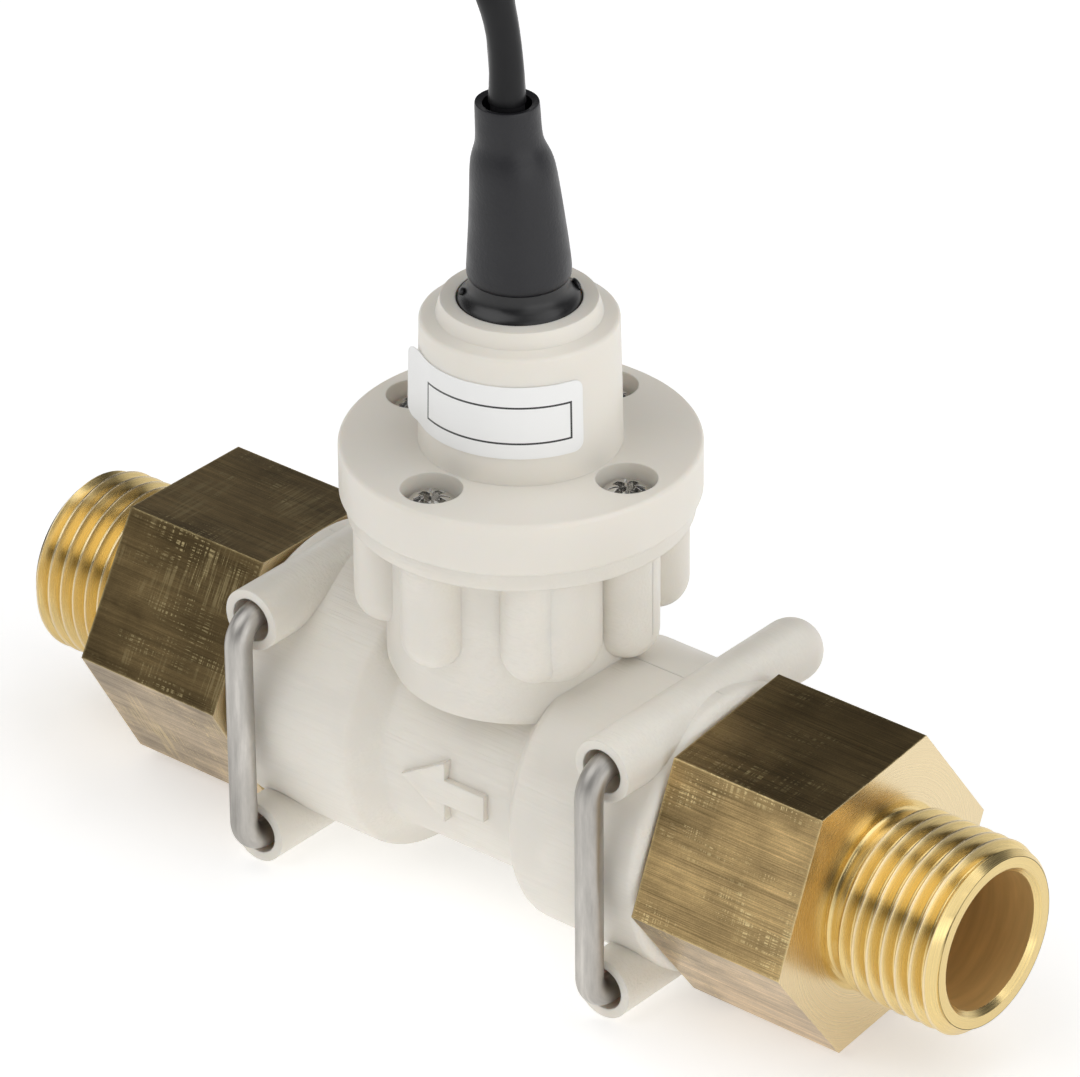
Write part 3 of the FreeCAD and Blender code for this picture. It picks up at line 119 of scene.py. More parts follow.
class MeterColours(bpy.types.PropertyGroup):
    moulding: colour_property("Moulding", "Cream body and cap", (0.785, 0.748, 0.676))
    brass: colour_property("Brass", "Freshly turned brass", (0.78, 0.64, 0.40))
    # The grooves' deeper orange is painted light bounced between the flanks, with dirt in the roots.
    groove_bounce_and_dirt: colour_property("Grooves", "Brass between the threads", (0.765, 0.59, 0.27))
    tarnish: colour_property("Tarnish", "Drawn flats of the hexagons", (0.43, 0.303, 0.138))
    sleeve: colour_property("Sleeve", "Shrunk sleeve", (0.0095, 0.0095, 0.012))
    jacket: colour_property("Jacket", "Cable jacket", (0.006, 0.006, 0.007))
    wire: colour_property("Clip wire", "Dull drawn wire", (0.49, 0.47, 0.44))


class MeterSizes(bpy.types.PropertyGroup):
    thread_pitch: length_property("Thread pitch", "One turn of the pipe thread", 1.814 * MM)
    thread_depth: length_property("Thread depth", "Crest to root", 1.16 * MM)
    band_low: length_property("Band's lower edge", "Above the pipe axis", 40.2 * MM)
    band_high: length_property("Band's upper edge", "Above the pipe axis", 48.4 * MM)
    band_thickness: length_property("Band thickness", "Printed band on the neck", 0.12 * MM)
    cable_diameter: length_property("Cable diameter", "Over the jacket", 3.5 * MM)
    seam_width: length_property("Seam width", "Parting line of the moulding", 0.16 * MM)


def sizes():
    return bpy.context.scene.meter_sizes


def colours():
    return bpy.context.scene.meter_colours


# --- Materials ---


def set_inputs(node, values):
    """Set a node's inputs by their names."""
    for name, value in values.items():
        node.inputs[name].default_value = value


class Nodes:
    """A node tree, with short calls for what the finishes share."""

    def __init__(self, tree):
        self.tree = tree

    def node(self, kind, inputs=None, **settings):
        made = self.tree.nodes.new("ShaderNode" + kind)
        for name, value in settings.items():
            setattr(made, name, value)
        set_inputs(made, inputs or {})
        return made

    def link(self, out, into):
        self.tree.links.new(out, into)

    def split(self, space):
        """The three coordinates of a space."""
        parts = self.node("SeparateXYZ")
        self.link(self.node("TexCoord").outputs[space], parts.inputs[0])
        return parts.outputs

    def place(self, stretch):
        """Object coordinates, stretched: a larger number packs the pattern closer that way."""
        mapping = self.node("Mapping", {"Scale": stretch})
        self.link(self.node("TexCoord").outputs["Object"], mapping.inputs["Vector"])
        return mapping.outputs["Vector"]

    def noise(self, scale, stretch=(1, 1, 1), detail=4.0, rough=0.55, twist=0.0, vector=None):
        """Noise over the stretched piece, or over a vector that takes its place."""
        values = {"Scale": scale, "Detail": detail, "Roughness": rough, "Distortion": twist}
        pattern = self.node("TexNoise", values)
        self.link(vector or self.place(stretch), pattern.inputs["Vector"])
        return pattern.outputs["Fac"]

    def ramp(self, factor, *stops):
        """Colours or greys at places from 0 to 1."""
        ramp = self.node("ValToRGB")
        elements = ramp.color_ramp.elements
        while len(elements) < len(stops):
            elements.new(0.5)
        for element, (place, shade) in zip(elements, stops):
            element.position = place
            element.color = (shade, shade, shade, 1) if isinstance(shade, float) else (*shade, 1)
        self.link(factor, ramp.inputs["Fac"])
        return ramp.outputs["Color"]

    def feed(self, sockets, values):
        """Give each socket its value, which is an output, a plain colour or a number."""
        for socket, value in zip(sockets, values):
            if isinstance(value, bpy.types.NodeSocket):
                self.link(value, socket)
            else:
                socket.default_value = (*value, 1) if isinstance(value, tuple) else value

    def mix(self, factor, first, second, blend="MIX"):
        """Mix two colours."""
        mix = self.node("Mix", data_type="RGBA", blend_type=blend)
        self.feed((mix.inputs[0], mix.inputs[6], mix.inputs[7]), (factor, first, second))
        return mix.outputs[2]

    def math(self, operation, first, second=0.0):
        node = self.node("Math", operation=operation)
        self.feed(node.inputs, (first, second))
        return node.outputs[0]

    def product(self, first, second):
        """Multiply two numbers."""
        return self.math("MULTIPLY", first, second)

    def blend(self, first, second):
        """Multiply two colours."""
        return self.mix(1.0, first, second, "MULTIPLY")


class Finish(Nodes):
    """A material of one shader, with calls for what drives it."""

    def __init__(self, name, base, roughness, metallic=0.0):
        self.material = bpy.data.materials.new(name)
        self.material.use_nodes = True
        super().__init__(self.material.node_tree)
        self.shader = self.tree.nodes["Principled BSDF"]
        values = {"Base Color": (*base, 1), "Roughness": roughness, "Metallic": metallic}
        set_inputs(self.shader, values)

    def edges(self, width):
        """1 along the sharp edges of the piece, 0 away from them."""
        bevel = self.node("Bevel", {"Radius": width}, samples=8)
        geometry = self.node("NewGeometry")
        turned = self.node("VectorMath", operation="DOT_PRODUCT")
        self.link(bevel.outputs["Normal"], turned.inputs[0])
        self.link(geometry.outputs["Normal"], turned.inputs[1])
        return self.ramp(turned.outputs["Value"], (0.93, 1.0), (0.995, 0.0))

    def colour(self, output):
        self.link(output, self.shader.inputs["Base Color"])

    def roughness(self, output):
        self.link(output, self.shader.inputs["Roughness"])

    def relief(self, height, distance, strength, edge=0.0):
        """Bump from a height pattern, over edges that look rounded by `edge`."""
        bump = self.node("Bump", {"Strength": strength, "Distance": distance})
        self.link(height, bump.inputs["Height"])
        if edge:
            bevel = self.node("Bevel", {"Radius": edge}, samples=6)
            self.link(bevel.outputs["Normal"], bump.inputs["Normal"])
        self.link(bump.outputs["Normal"], self.shader.inputs["Normal"])


def tint(base, amount):
    """A colour made lighter or darker."""
    return tuple(min(1.0, channel * amount) for channel in base)


# How light spreads under the moulding's skin; the depths for red, green and blue are in metres.
MOULDING_SKIN = {
    "Subsurface Weight": 0.2,
    "Subsurface Radius": (0.0020, 0.0013, 0.0008),
    "Subsurface Scale": 1.0,
}


def moulding_finish(name, streaks):
    """Satin cream moulding with faint flow marks and, on the body, fine lines along the pipe."""
    base = tuple(colours().moulding)
    finish = Finish(name, base, 0.42)
    cloud = finish.ramp(finish.noise(28, detail=3), (0.3, tint(base, 0.97)), (0.7, tint(base, 1.02)))
    finish.roughness(finish.ramp(finish.noise(160, detail=3), (0.3, 0.33), (0.7, 0.47)))
    if streaks:
        lines = finish.noise(3200, stretch=(0.035, 1, 1), detail=2)
        fields = finish.ramp(finish.noise(95, detail=2), (0.42, 0.15), (0.6, 1.0))
        height = finish.product(lines, fields)
        shade = finish.ramp(height, (0.1, 0.965), (0.5, 1.015))
        finish.colour(finish.blend(cloud, shade))
        finish.relief(height, 0.00012, 0.8, edge=0.00025)
    else:
        finish.colour(cloud)
        finish.relief(finish.noise(1500, detail=2), 0.00002, 0.3, edge=0.00022)
    set_inputs(finish.shader, MOULDING_SKIN)
    return finish.material


# What the drawn flats show where they are bare, and the grey that the pale ones lean towards, a
# painted reflection of the pale floor.
BARE_GOLD = (0.86, 0.69, 0.35)
FLOOR_REFLECTION_GREY = (0.58, 0.50, 0.42)


def brass_flat_finish(name, across, shade, pale):
    """Tarnished drawn bar: lines along the pipe, gold specks and worn edges.

    `shade` is how light it is: the fitting's own tarnish together with painted light and shade for how
    light falls on this flat. `pale` is how grey, a painted reflection of the pale floor, and `across`
    adds scratches across the lines.
    """
    # Painted light and shade: `shade` makes the tarnish lighter or darker for how light falls on this
    # flat.
    dark = tint(tuple(colours().tarnish), shade)
    # Painted reflection: `pale` greys the flat towards the floor's reflection.
    dark = tuple(part + (grey - part) * pale for part, grey in zip(dark, FLOOR_REFLECTION_GREY))
    # The bare gold is lit and shaded with the flat, so `shade` paints light on it too.
    gold = tint(BARE_GOLD, 0.40 + 0.42 * shade)
    finish = Finish(name, dark, 0.4, metallic=1.0)
    cloud = finish.noise(150, stretch=(0.4, 1, 1), detail=6, rough=0.62, twist=0.4)
    base = finish.ramp(
        cloud,
        (0.30, tint(dark, 0.58)),
        (0.45, tint(dark, 0.92)),
        (0.58, tint(dark, 1.2)),
        (0.75, tint(dark, 0.82)),
    )
    drawn = finish.noise(9000, stretch=(0.008, 1, 1), detail=3, rough=0.6)
    lines = finish.ramp(drawn, (0.35, 0.80 if across else 0.68), (0.5, 1.0), (0.66, 1.22))
    bands = finish.noise(1300, stretch=(0.02, 1, 1), detail=3)
    lines = finish.blend(lines, finish.ramp(bands, (0.35, 0.82), (0.65, 1.12)))
    grain = finish.ramp(finish.noise(7000, detail=3, rough=0.7), (0.35, 0.86), (0.65, 1.12))
    stains = finish.ramp(finish.noise(75, detail=3), (0.36, 0.66), (0.62, 1.15))
    shaded = finish.blend(finish.blend(base, finish.blend(lines, grain)), stains)
    dashes = finish.ramp(finish.noise(5200, stretch=(0.05, 1, 1), detail=2), (0.54, 0.0), (0.60, 1.0))
    cuts = finish.noise(3600, stretch=(1, 0.04, 0.04), detail=3, rough=0.6)
    cuts = finish.ramp(cuts, (0.50, 0.0), (0.57, 1.0))
    bare = finish.ramp(finish.noise(240, stretch=(0.3, 1, 1), detail=4), (0.46, 0.0), (0.6, 1.0))
    worn = finish.product(finish.product(dashes, cuts), bare)
    if across:
        fields = finish.ramp(finish.noise(150, detail=3), (0.50, 0.0), (0.62, 0.45))
        worn = finish.math("MAXIMUM", worn, finish.product(cuts, fields))
    rubbed = finish.ramp(finish.noise(900, detail=3), (0.35, 0.25), (0.6, 0.85))
    worn = finish.math("MAXIMUM", worn, finish.product(finish.edges(0.00045), rubbed))
    finish.colour(finish.mix(worn, shaded, gold))
    finish.roughness(finish.ramp(cloud, (0.3, 0.40), (0.7, 0.27)))
    finish.relief(drawn, 0.00003, 0.5, edge=0.0002)
    return finish.material


# How far below the thread's crests the brass has the grooves' colour, and where it has its own. The
# grooves' deeper orange is painted light bounced between the flanks, with dirt in the roots.
GROOVE_DEPTH = 0.2 * MM
CREST_DEPTH = 0.03 * MM

# What the bore keeps of the brass's red, green and blue: darker and more orange, as painted shade and
# bounced light inside the bore.
BORE_SHADE = (0.96, 0.82, 0.55)


def brass_turned_finish(name):
    """Machined brass: the tool's fine rings about the pipe axis stretch what it mirrors."""
    base, rough = tuple(colours().brass), 0.25
    finish = Finish(name, base, rough, metallic=1.0)
    along, across, up = finish.split("Object")
    level = finish.math("SUBTRACT", up, PIPE.z)
    squares = finish.math("ADD", finish.product(across, across), finish.product(level, level))
    radius = finish.math("SQRT", squares)
    ring_place = finish.node("CombineXYZ")
    finish.link(along, ring_place.inputs[0])
    finish.link(radius, ring_place.inputs[1])
    rings = finish.noise(7500, detail=3, rough=0.5, vector=ring_place.outputs[0])
    ends = {"From Min": THREAD_RADIUS - GROOVE_DEPTH, "From Max": THREAD_RADIUS - CREST_DEPTH}
    rise = finish.node("MapRange", ends)
    finish.link(radius, rise.inputs["Value"])
    # Painted bounced light, with dirt: deeper orange below the crests.
    deep = finish.mix(rise.outputs[0], tuple(colours().groove_bounce_and_dirt), base)
    marks = finish.ramp(rings, (0.3, 0.92), (0.6, 1.0), (0.75, 1.05))
    finish.colour(finish.blend(deep, marks))
    finish.roughness(finish.ramp(rings, (0.3, rough + 0.05), (0.7, rough - 0.04)))
    finish.relief(rings, 0.000012, 0.3, edge=0.0001)
    tangent = finish.node("Tangent", direction_type="RADIAL", axis="X")
    finish.link(tangent.outputs[0], finish.shader.inputs["Tangent"])
    set_inputs(finish.shader, {"Anisotropic": 0.6, "Anisotropic Rotation": 0.25})
    return finish.material


def brass_bore_finish(name):
    """The bore, dulled, so that light from its mouth spreads down its wall."""
    # Painted shade: the brass darker and more orange inside the bore.
    base = tuple(part * left for part, left in zip(colours().brass, BORE_SHADE))
    finish = Finish(name, base, 0.5, metallic=0.6)
    cloud = finish.noise(900, stretch=(1, 0.1, 0.1), detail=4)
    finish.colour(finish.ramp(cloud, (0.3, tint(base, 0.88)), (0.7, tint(base, 1.1))))
    finish.relief(cloud, 0.00001, 0.3)
    return finish.material


def rubber_finish(name, base, rough, grain, depth=0.00003, sheen=0.5):
    """Matt rubber or soft plastic with a fine grain and a little dust."""
    finish = Finish(name, base, rough)
    cloud = finish.noise(60, detail=4)
    finish.colour(finish.ramp(cloud, (0.3, tint(base, 0.85)), (0.7, tint(base, 1.18))))
    finish.roughness(finish.ramp(finish.noise(300), (0.3, rough - 0.06), (0.7, rough + 0.08)))
    finish.relief(finish.noise(grain, detail=3), depth, 0.5)
    set_inputs(finish.shader, {"Specular IOR Level": sheen})
    return finish.material


def plain_finish(name, base, rough, metallic=0.0, grain=1200, edge=0.0):
    """A small part's finish: one colour broken up by a faint grain."""
    finish = Finish(name, base, rough, metallic)
    cloud = finish.noise(grain / 8, detail=3)
    finish.colour(finish.ramp(cloud, (0.3, tint(base, 0.9)), (0.7, tint(base, 1.08))))
    finish.relief(finish.noise(grain, detail=2), 0.00002, 0.3, edge=edge)
    return finish.material


def wire_finish():
    """Dull drawn steel wire with dark draw marks along its length."""
    base = tuple(colours().wire)
    finish = Finish("clip wire", base, 0.4, metallic=1.0)
    marks = finish.noise(700, stretch=(1, 0.1, 0.1), detail=5, rough=0.65)
    finish.colour(finish.ramp(marks, (0.3, tint(base, 0.7)), (0.55, base), (0.75, tint(base, 1.35))))
    finish.roughness(finish.ramp(marks, (0.3, 0.5), (0.7, 0.34)))
    finish.relief(marks, 0.00004, 0.4)
    return finish.material


# The band's paper, and its printed frame in millimetres from the band's corner: the frame's middle,
# half of its size and half of its line's width.
PAPER = (0.86, 0.86, 0.85)
PRINT_MIDDLE = (13.0, 3.8)
PRINT_HALF = (8.4, 2.05)
PRINT_LINE = 0.11


def band_finish():
    """White coated paper with a thin printed border; its map is in millimetres."""
    finish = Finish("white band", PAPER, 0.35)
    distances = []
    for output, middle, half in zip(finish.split("UV"), PRINT_MIDDLE, PRINT_HALF):
        offset = finish.math("ABSOLUTE", finish.math("SUBTRACT", output, middle))
        distances.append(finish.math("SUBTRACT", offset, half))
    border = finish.math("ABSOLUTE", finish.math("MAXIMUM", *distances))
    line = finish.math("LESS_THAN", border, PRINT_LINE)
    finish.colour(finish.mix(line, PAPER, (0.03, 0.03, 0.03)))
    finish.relief(finish.noise(500, detail=2), 0.00001, 0.2)
    return finish.material


# --- Shaping helpers ---


def only(piece):
    """Select one piece and make it active."""
    bpy.ops.object.select_all(action="DESELECT")
    piece.select_set(True)
    bpy.context.view_layer.objects.active = piece


def active():
    """The piece that an operator has just made."""
    return bpy.context.view_layer.objects.active


def freeze(piece):
    """Put a piece's place, turn and size into its mesh."""
    only(piece)
    bpy.ops.object.transform_apply(location=True, rotation=True, scale=True)


def way_out(angle):
    """A level vector of length 1 in a direction."""
    return Vector((math.cos(angle), math.sin(angle), 0))


def add_object(name, data):
    """A new object in the scene."""
    made = bpy.data.objects.new(name, data)
    bpy.context.scene.collection.objects.link(made)
    return made


def settle(piece, name, body, materials, replaces=(), smooth=35):
    """Name a finished piece, put its place in its mesh, give its finish and its ride."""
    freeze(piece)
    bpy.ops.object.shade_smooth_by_angle(angle=math.radians(smooth))
    piece.name = name
    piece.data.materials.clear()
    for material in materials:
        piece.data.materials.append(material)
    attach(piece, body)
    if replaces:
        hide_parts(*replaces)
    return piece


def modify(piece, kind, **values):
    """Add a modifier, set it and apply it."""
    only(piece)
    modifier = piece.modifiers.new(kind.title(), kind)
    for name, value in values.items():
        setattr(modifier, name, value)
    bpy.ops.object.modifier_apply(modifier=modifier.name)


def edit(piece, action="SELECT"):
    """Open a piece's mesh, with all of it selected or none."""
    only(piece)
    bpy.ops.object.mode_set(mode="EDIT")
    bpy.ops.mesh.select_all(action=action)


def close_edit():
    bpy.ops.object.mode_set(mode="OBJECT")


def face_out(piece):
    """Join a closed mesh at its corners and turn its faces outwards."""
    edit(piece)
    bpy.ops.mesh.remove_doubles(threshold=WELD)
    bpy.ops.mesh.normals_make_consistent(inside=False)
    close_edit()


def merged_copy(node):
    """A copy of a CAD node whose loose triangles are joined at their corners."""
    piece = add_object(node + "_copy", frame["nodes"][node].data.copy())
    edit(piece)
    bpy.ops.mesh.customdata_custom_splitnormals_clear()
    bpy.ops.mesh.remove_doubles(threshold=WELD)
    close_edit()
    return piece


def dressed(node, name, body, material, smooth=30):
    """A merged, smoothly shaded copy of a CAD node that stands for it."""
    return settle(merged_copy(node), name, body, [material], [node], smooth)


def lathed(rings):
    """A skin drawn out of a circle ring by ring; each ring is its centre and its radius."""
    centre, radius = rings[0]
    bpy.ops.mesh.primitive_circle_add(vertices=LATHE_SIDES, radius=radius, location=centre)
    piece = active()
    freeze(piece)
    edit(piece)
    for (below, narrow), (centre, radius) in zip(rings, rings[1:]):
        step = centre - below
        bpy.ops.mesh.extrude_region_move(TRANSFORM_OT_translate={"value": tuple(step)})
        grow = radius / narrow
        bpy.ops.transform.resize(value=(grow, grow, 1), center_override=centre)
    close_edit()
    face_out(piece)
    return piece


def tube(name, points, kind, diameter, roundness):
    """A round tube's curve through points, with its spline."""
    data = bpy.data.curves.new(name, "CURVE")
    data.dimensions = "3D"
    data.bevel_depth = diameter / 2
    data.bevel_resolution = roundness
    spline = data.splines.new(kind)
    spline.points.add(len(points) - 1)
    for point, spot in zip(spline.points, points):
        point.co = (*spot, 1)
    return add_object(name, data), spline


def cord_curve(name, points, diameter, widths=None):
    """A smooth round cord through control points, some of them wider than its diameter."""
    piece, spline = tube(name, points, "NURBS", diameter, 6)
    piece.data.use_fill_caps = True
    spline.order_u = 3
    spline.use_endpoint_u = True
    spline.resolution_u = 8
    for index, width in (widths or {}).items():
        spline.points[index].radius = width
    return piece


# --- Brass fittings ---


# How light the tarnish is on the upper flat, the front flat and the other flats of each fitting: the
# two fittings' own tarnish differs, and the steps between one fitting's flats are painted light and
# shade, for how light falls on each flat.
INLET_TARNISH_AND_LIGHT = (0.68, 1.32, 1.22)
OUTLET_TARNISH_AND_LIGHT = (0.92, 0.46, 1.05)

# The flats' finishes, and how pale each is: how far it is greyed by a painted reflection of the floor.
FLATS = (("upper flat", 0.0), ("front flat", 0.0), ("other flats", 0.4))

# All faces within the first radius are turned ones, and all within the second are the bore's.
FLATS_INSIDE = 13.4 * MM
BORE_OUTSIDE = 7.7 * MM

# The threaded end: where it leaves the hexagon, its bore and the bore's chamfer, the relief behind
# the thread with its fillet, the lead-in chamfer, and where the relief and the thread's turns begin.
THREAD_LENGTH = 14.25 * MM
THREAD_FOOT = FITTING_END - THREAD_LENGTH
BORE_RADIUS = 7.55 * MM
BORE_CHAMFER = 0.6 * MM
RELIEF_RADIUS = 9.2 * MM
RELIEF_FILLET = 0.5 * MM
RELIEF_LENGTH = 1.2 * MM
THREAD_START = 1.3 * MM
CHAMFER = 1.1 * MM

# Columns round the thread, and how close its corners may lie.
THREAD_STEPS = 96
THREAD_WELD = 0.004 * MM

# One pitch of the pipe thread: share of the pitch, share of the depth above the root.
THREAD_FORM = ((0.0, 0.0), (0.07, 0.03), (0.455, 1.0), (0.545, 1.0), (0.93, 0.03))


def thread_limit(x):
    """Largest radius at a place: fillet at the hexagon, relief, thread and lead-in chamfer."""
    ahead, left = x - THREAD_FOOT, FITTING_END - x
    if ahead < RELIEF_FILLET:
        rise = math.sqrt(max(0.0, ahead * (2 * RELIEF_FILLET - ahead)))
        return RELIEF_RADIUS + RELIEF_FILLET - rise
    run_in = RELIEF_RADIUS + max(0.0, ahead - RELIEF_LENGTH)
    return min(THREAD_RADIUS, run_in, THREAD_RADIUS - CHAMFER + left)


def thread_ring(x, radius):
    """A row of the threaded end that is a plain circle."""
    return [(x, radius)] * THREAD_STEPS


def thread_rows():
    """The threaded end's rows, from its bore over the relief and the turns back to its bore."""
    pitch, depth = sizes().thread_pitch, sizes().thread_depth
    rows = [thread_ring(x, BORE_RADIUS) for x in (FITTING_END - BORE_CHAMFER, THREAD_FOOT)]
    for along in (0, 0.1, 0.25):
        x = THREAD_FOOT + along * MM
        rows.append(thread_ring(x, thread_limit(x)))
    for turn in range(-1, math.ceil(THREAD_LENGTH / pitch) + 1):
        for share, rise in THREAD_FORM:
            radius = THREAD_RADIUS - depth * (1 - rise)
            row = []
            for step in range(THREAD_STEPS):
                x = THREAD_FOOT + (turn + share + step / THREAD_STEPS) * pitch
                x = min(max(x, THREAD_FOOT + RELIEF_FILLET), FITTING_END)
                limit = thread_limit(x)
                row.append((x, min(radius, limit) if x > THREAD_FOOT + THREAD_START else limit))
            rows.append(row)
    rows.append(thread_ring(FITTING_END, THREAD_RADIUS - CHAMFER))
    rows.append(thread_ring(FITTING_END, BORE_RADIUS + BORE_CHAMFER))
    return rows


def threaded_end(side):
    """The threaded sleeve, a ring of rows that follow the helix and stop at its two end faces."""
    rows = thread_rows()
    count = len(rows)
    points = []
    for row in rows:
        for step, (x, radius) in enumerate(row):
            angle = math.tau * step / THREAD_STEPS
            points.append((side * x, radius * math.sin(angle), PIPE.z + radius * math.cos(angle)))

    # The helix rows end a pitch further on, so their last column closes on the next turn's rows. The
    # first five rows and the last two are circles.
    circles = (0, 1, 2, 3, 4, count - 2, count - 1)

    def corner(row, step):
        if step < THREAD_STEPS:
            return row * THREAD_STEPS + step
        if row in circles:
            return row * THREAD_STEPS
        return min(row + len(THREAD_FORM), count - 3) * THREAD_STEPS

    faces = []
    for row in range(count):
        after = (row + 1) % count
        for step in range(THREAD_STEPS):
            ahead = step + 1
            corners = (corner(row, step), corner(row, ahead), corner(after, ahead), corner(after, step))
            faces.append(tuple(dict.fromkeys(corners)))
    mesh = bpy.data.meshes.new("thread")
    mesh.from_pydata(points, [], faces)
    sleeve = add_object("thread", mesh)
    edit(sleeve)
    bpy.ops.mesh.remove_doubles(threshold=THREAD_WELD)
    bpy.ops.mesh.select_all(action="SELECT")
    bpy.ops.mesh.dissolve_degenerate(threshold=THREAD_WELD)
    bpy.ops.mesh.select_all(action="SELECT")
    bpy.ops.mesh.normals_make_consistent(inside=False)
    close_edit()
    return sleeve


def brass_slot(normal, radius):
    """A face's finish on a fitting: turned 0, bore 1, upper flat 2, front flat 3, other flats 4."""
    if abs(normal.x) >= 0.3 or radius <= FLATS_INSIDE:
        return 1 if radius < BORE_OUTSIDE else 0
    if normal.z > 0.8:
        return 2
    return 3 if normal.y < -0.5 and normal.z > 0 else 4


def brass_fitting(node, name, side, across, tarnish_and_light):
    """Hexagon, spigot and bore from the CAD node, with a real thread in place of its cylinder."""
    fitting = merged_copy(node)
    cut = THREAD_FOOT + 0.02 * MM
    edit(fitting)
    bpy.ops.mesh.bisect(
        plane_co=(side * cut, 0, 0), plane_no=(side, 0, 0), clear_outer=True, use_fill=False
    )
    close_edit()
    thread = threaded_end(side)
    only(fitting)
    thread.select_set(True)
    bpy.ops.object.join()
    materials = [brass_turned_finish(name + " turned"), brass_bore_finish(name + " bore")]
    # Each flat: one tarnish with its own painted light and shade; the other flats also a painted floor
    # reflection.
    for (word, pale), shade in zip(FLATS, tarnish_and_light):
        materials.append(brass_flat_finish(f"{name} {word}", across, shade, pale))
    settle(fitting, name, node, materials, [node], smooth=28)
    for polygon in fitting.data.polygons:
        centre = polygon.center - PIPE
        polygon.material_index = brass_slot(polygon.normal, math.hypot(centre.y, centre.z))


class METER_OT_brass_fittings(bpy.types.Operator):
    """Threads and finishes both brass fittings"""

    bl_idname = "meter.brass_fittings"
    bl_label = "Brass fittings"

    def execute(self, context):
        brass_fitting("inlet_fitting", "inlet_union", 1, False, INLET_TARNISH_AND_LIGHT)
        brass_fitting("outlet_fitting", "outlet_union", -1, True, OUTLET_TARNISH_AND_LIGHT)
        return {"FINISHED"}


# --- Moulded body, cap and band ---


# Where the parting lines run on each half, from and to: along the barrel's top and its underside,
# and up the turret's boss. They are sunk a little in the moulding.
BARREL_RADIUS = 16.0 * MM
BOSS_FACE = 17.65 * MM
SEAM_SUNK = 0.03 * MM
TOP_SEAM = (14.6 * MM, 27.0 * MM)
LOW_SEAM = (12.6 * MM, 27.0 * MM)
BOSS_SEAM = (19.6 * MM, 28.9 * MM)

# The broad boss: its radius, its axis's distance from the turret's and direction, its ball's centre
# and its top above the pipe axis, and how far outside its own axis the turret's wall hides it.
BROAD_RADIUS = 5.0 * MM
BROAD_REACH = 12.6 * MM
BROAD_TURN = math.radians(-34.7)
BROAD_BALL = 20.3 * MM
BROAD_TOP = 30.5 * MM
BROAD_HIDDEN = 0.9 * MM


def seam(name, points, material):
    """A parting line: a thin ridge half sunk in the moulding."""
    piece, _ = tube(name, points, "POLY", sizes().seam_width, 1)
    only(piece)
    bpy.ops.object.convert(target="MESH")
    settle(active(), name, HOUSING, [material])


def broad_boss(material):
    """A wider ball-ended boss that fills the hollow between two of the turret's bosses."""
    out = way_out(BROAD_TURN)
    centre = PIPE + out * BROAD_REACH + Vector((0, 0, BROAD_BALL))
    bpy.ops.mesh.primitive_uv_sphere_add(
        segments=64, ring_count=32, radius=BROAD_RADIUS, location=centre
    )
    boss = active()
    freeze(boss)
    edit(boss, "DESELECT")
    close_edit()
    for vertex in boss.data.vertices:
        vertex.select = vertex.co.z > centre.z + 0.01 * MM
    bpy.ops.object.mode_set(mode="EDIT")
    bpy.ops.transform.translate(value=(0, 0, BROAD_TOP - BROAD_BALL))
    bpy.ops.mesh.select_all(action="SELECT")
    inside = PIPE + out * (BROAD_REACH + BROAD_HIDDEN)
    bpy.ops.mesh.bisect(plane_co=inside, plane_no=out, clear_inner=True, use_fill=True)
    close_edit()
    face_out(boss)
    settle(boss, "broad_boss", HOUSING, [material])


class METER_OT_moulded_body(bpy.types.Operator):
    """Finishes the moulded body and draws its parting lines"""

    bl_idname = "meter.moulded_body"
    bl_label = "Moulded body"

    def execute(self, context):
        material = moulding_finish("cream moulding", streaks=True)
        dressed("flow_body", "moulded_body", HOUSING, material)
        broad_boss(material)
        lines = (
            ("top", TOP_SEAM, PIPE.z + BARREL_RADIUS - SEAM_SUNK),
            ("low", LOW_SEAM, PIPE.z - BARREL_RADIUS + SEAM_SUNK),
        )
        for side, half in ((1, "inlet"), (-1, "outlet")):
            for word, reach, level in lines:
                seam(f"{word}_seam_{half}", [(side * x, 0, level) for x in reach], material)
            face = side * (BOSS_FACE - SEAM_SUNK)
            seam(f"boss_seam_{half}", [(face, 0, PIPE.z + level) for level in BOSS_SEAM], material)
        return {"FINISHED"}


# The cross screws stand on this circle; the small radial cuts in their heads are this far from each
# screw's middle, in millimetres, and this long, wide and deep.
SCREW_CIRCLE = 14.2 * MM
CUT_REACH = 1.15
CUT_SIZE = (1.5 * MM, 0.28 * MM, 0.7 * MM)


class METER_OT_sensor_cap(bpy.types.Operator):
    """Finishes the cap and its screws"""

    bl_idname = "meter.sensor_cap"
    bl_label = "Sensor cap"

    def execute(self, context):
        cream = moulding_finish("cream cap", streaks=False)
        dressed("sensor_cap", "moulded_cap", HOUSING, cream)
        zinc = plain_finish("bright zinc", (0.66, 0.65, 0.63), 0.12, 1.0, grain=900, edge=0.00008)
        screws = dressed("cap_screws", "cross_screws", HOUSING, zinc)
        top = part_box("cap_screws")[1].z
        for quarter in range(4):
            turn = math.radians(90 * quarter)
            middle = Vector((SCREW_CIRCLE * math.cos(turn), SCREW_CIRCLE * math.sin(turn), top))
            for tick in range(4):
                way = turn + math.radians(45 + 90 * tick)
                spot = middle + way_out(way) * CUT_REACH * MM
                bpy.ops.mesh.primitive_cube_add(size=1, location=spot, rotation=(0, 0, way))
                cutter = active()
                cutter.scale = CUT_SIZE
                modify(screws, "BOOLEAN", object=cutter, operation="DIFFERENCE", solver="EXACT")
                bpy.data.objects.remove(cutter)
        return {"FINISHED"}


# The neck's foot and shoulder above the pipe axis, and its radius at each in millimetres.
NECK_FOOT, NECK_SHOULDER = 37.0 * MM, 51.4 * MM
NECK_RADII = (10.7, 10.4)

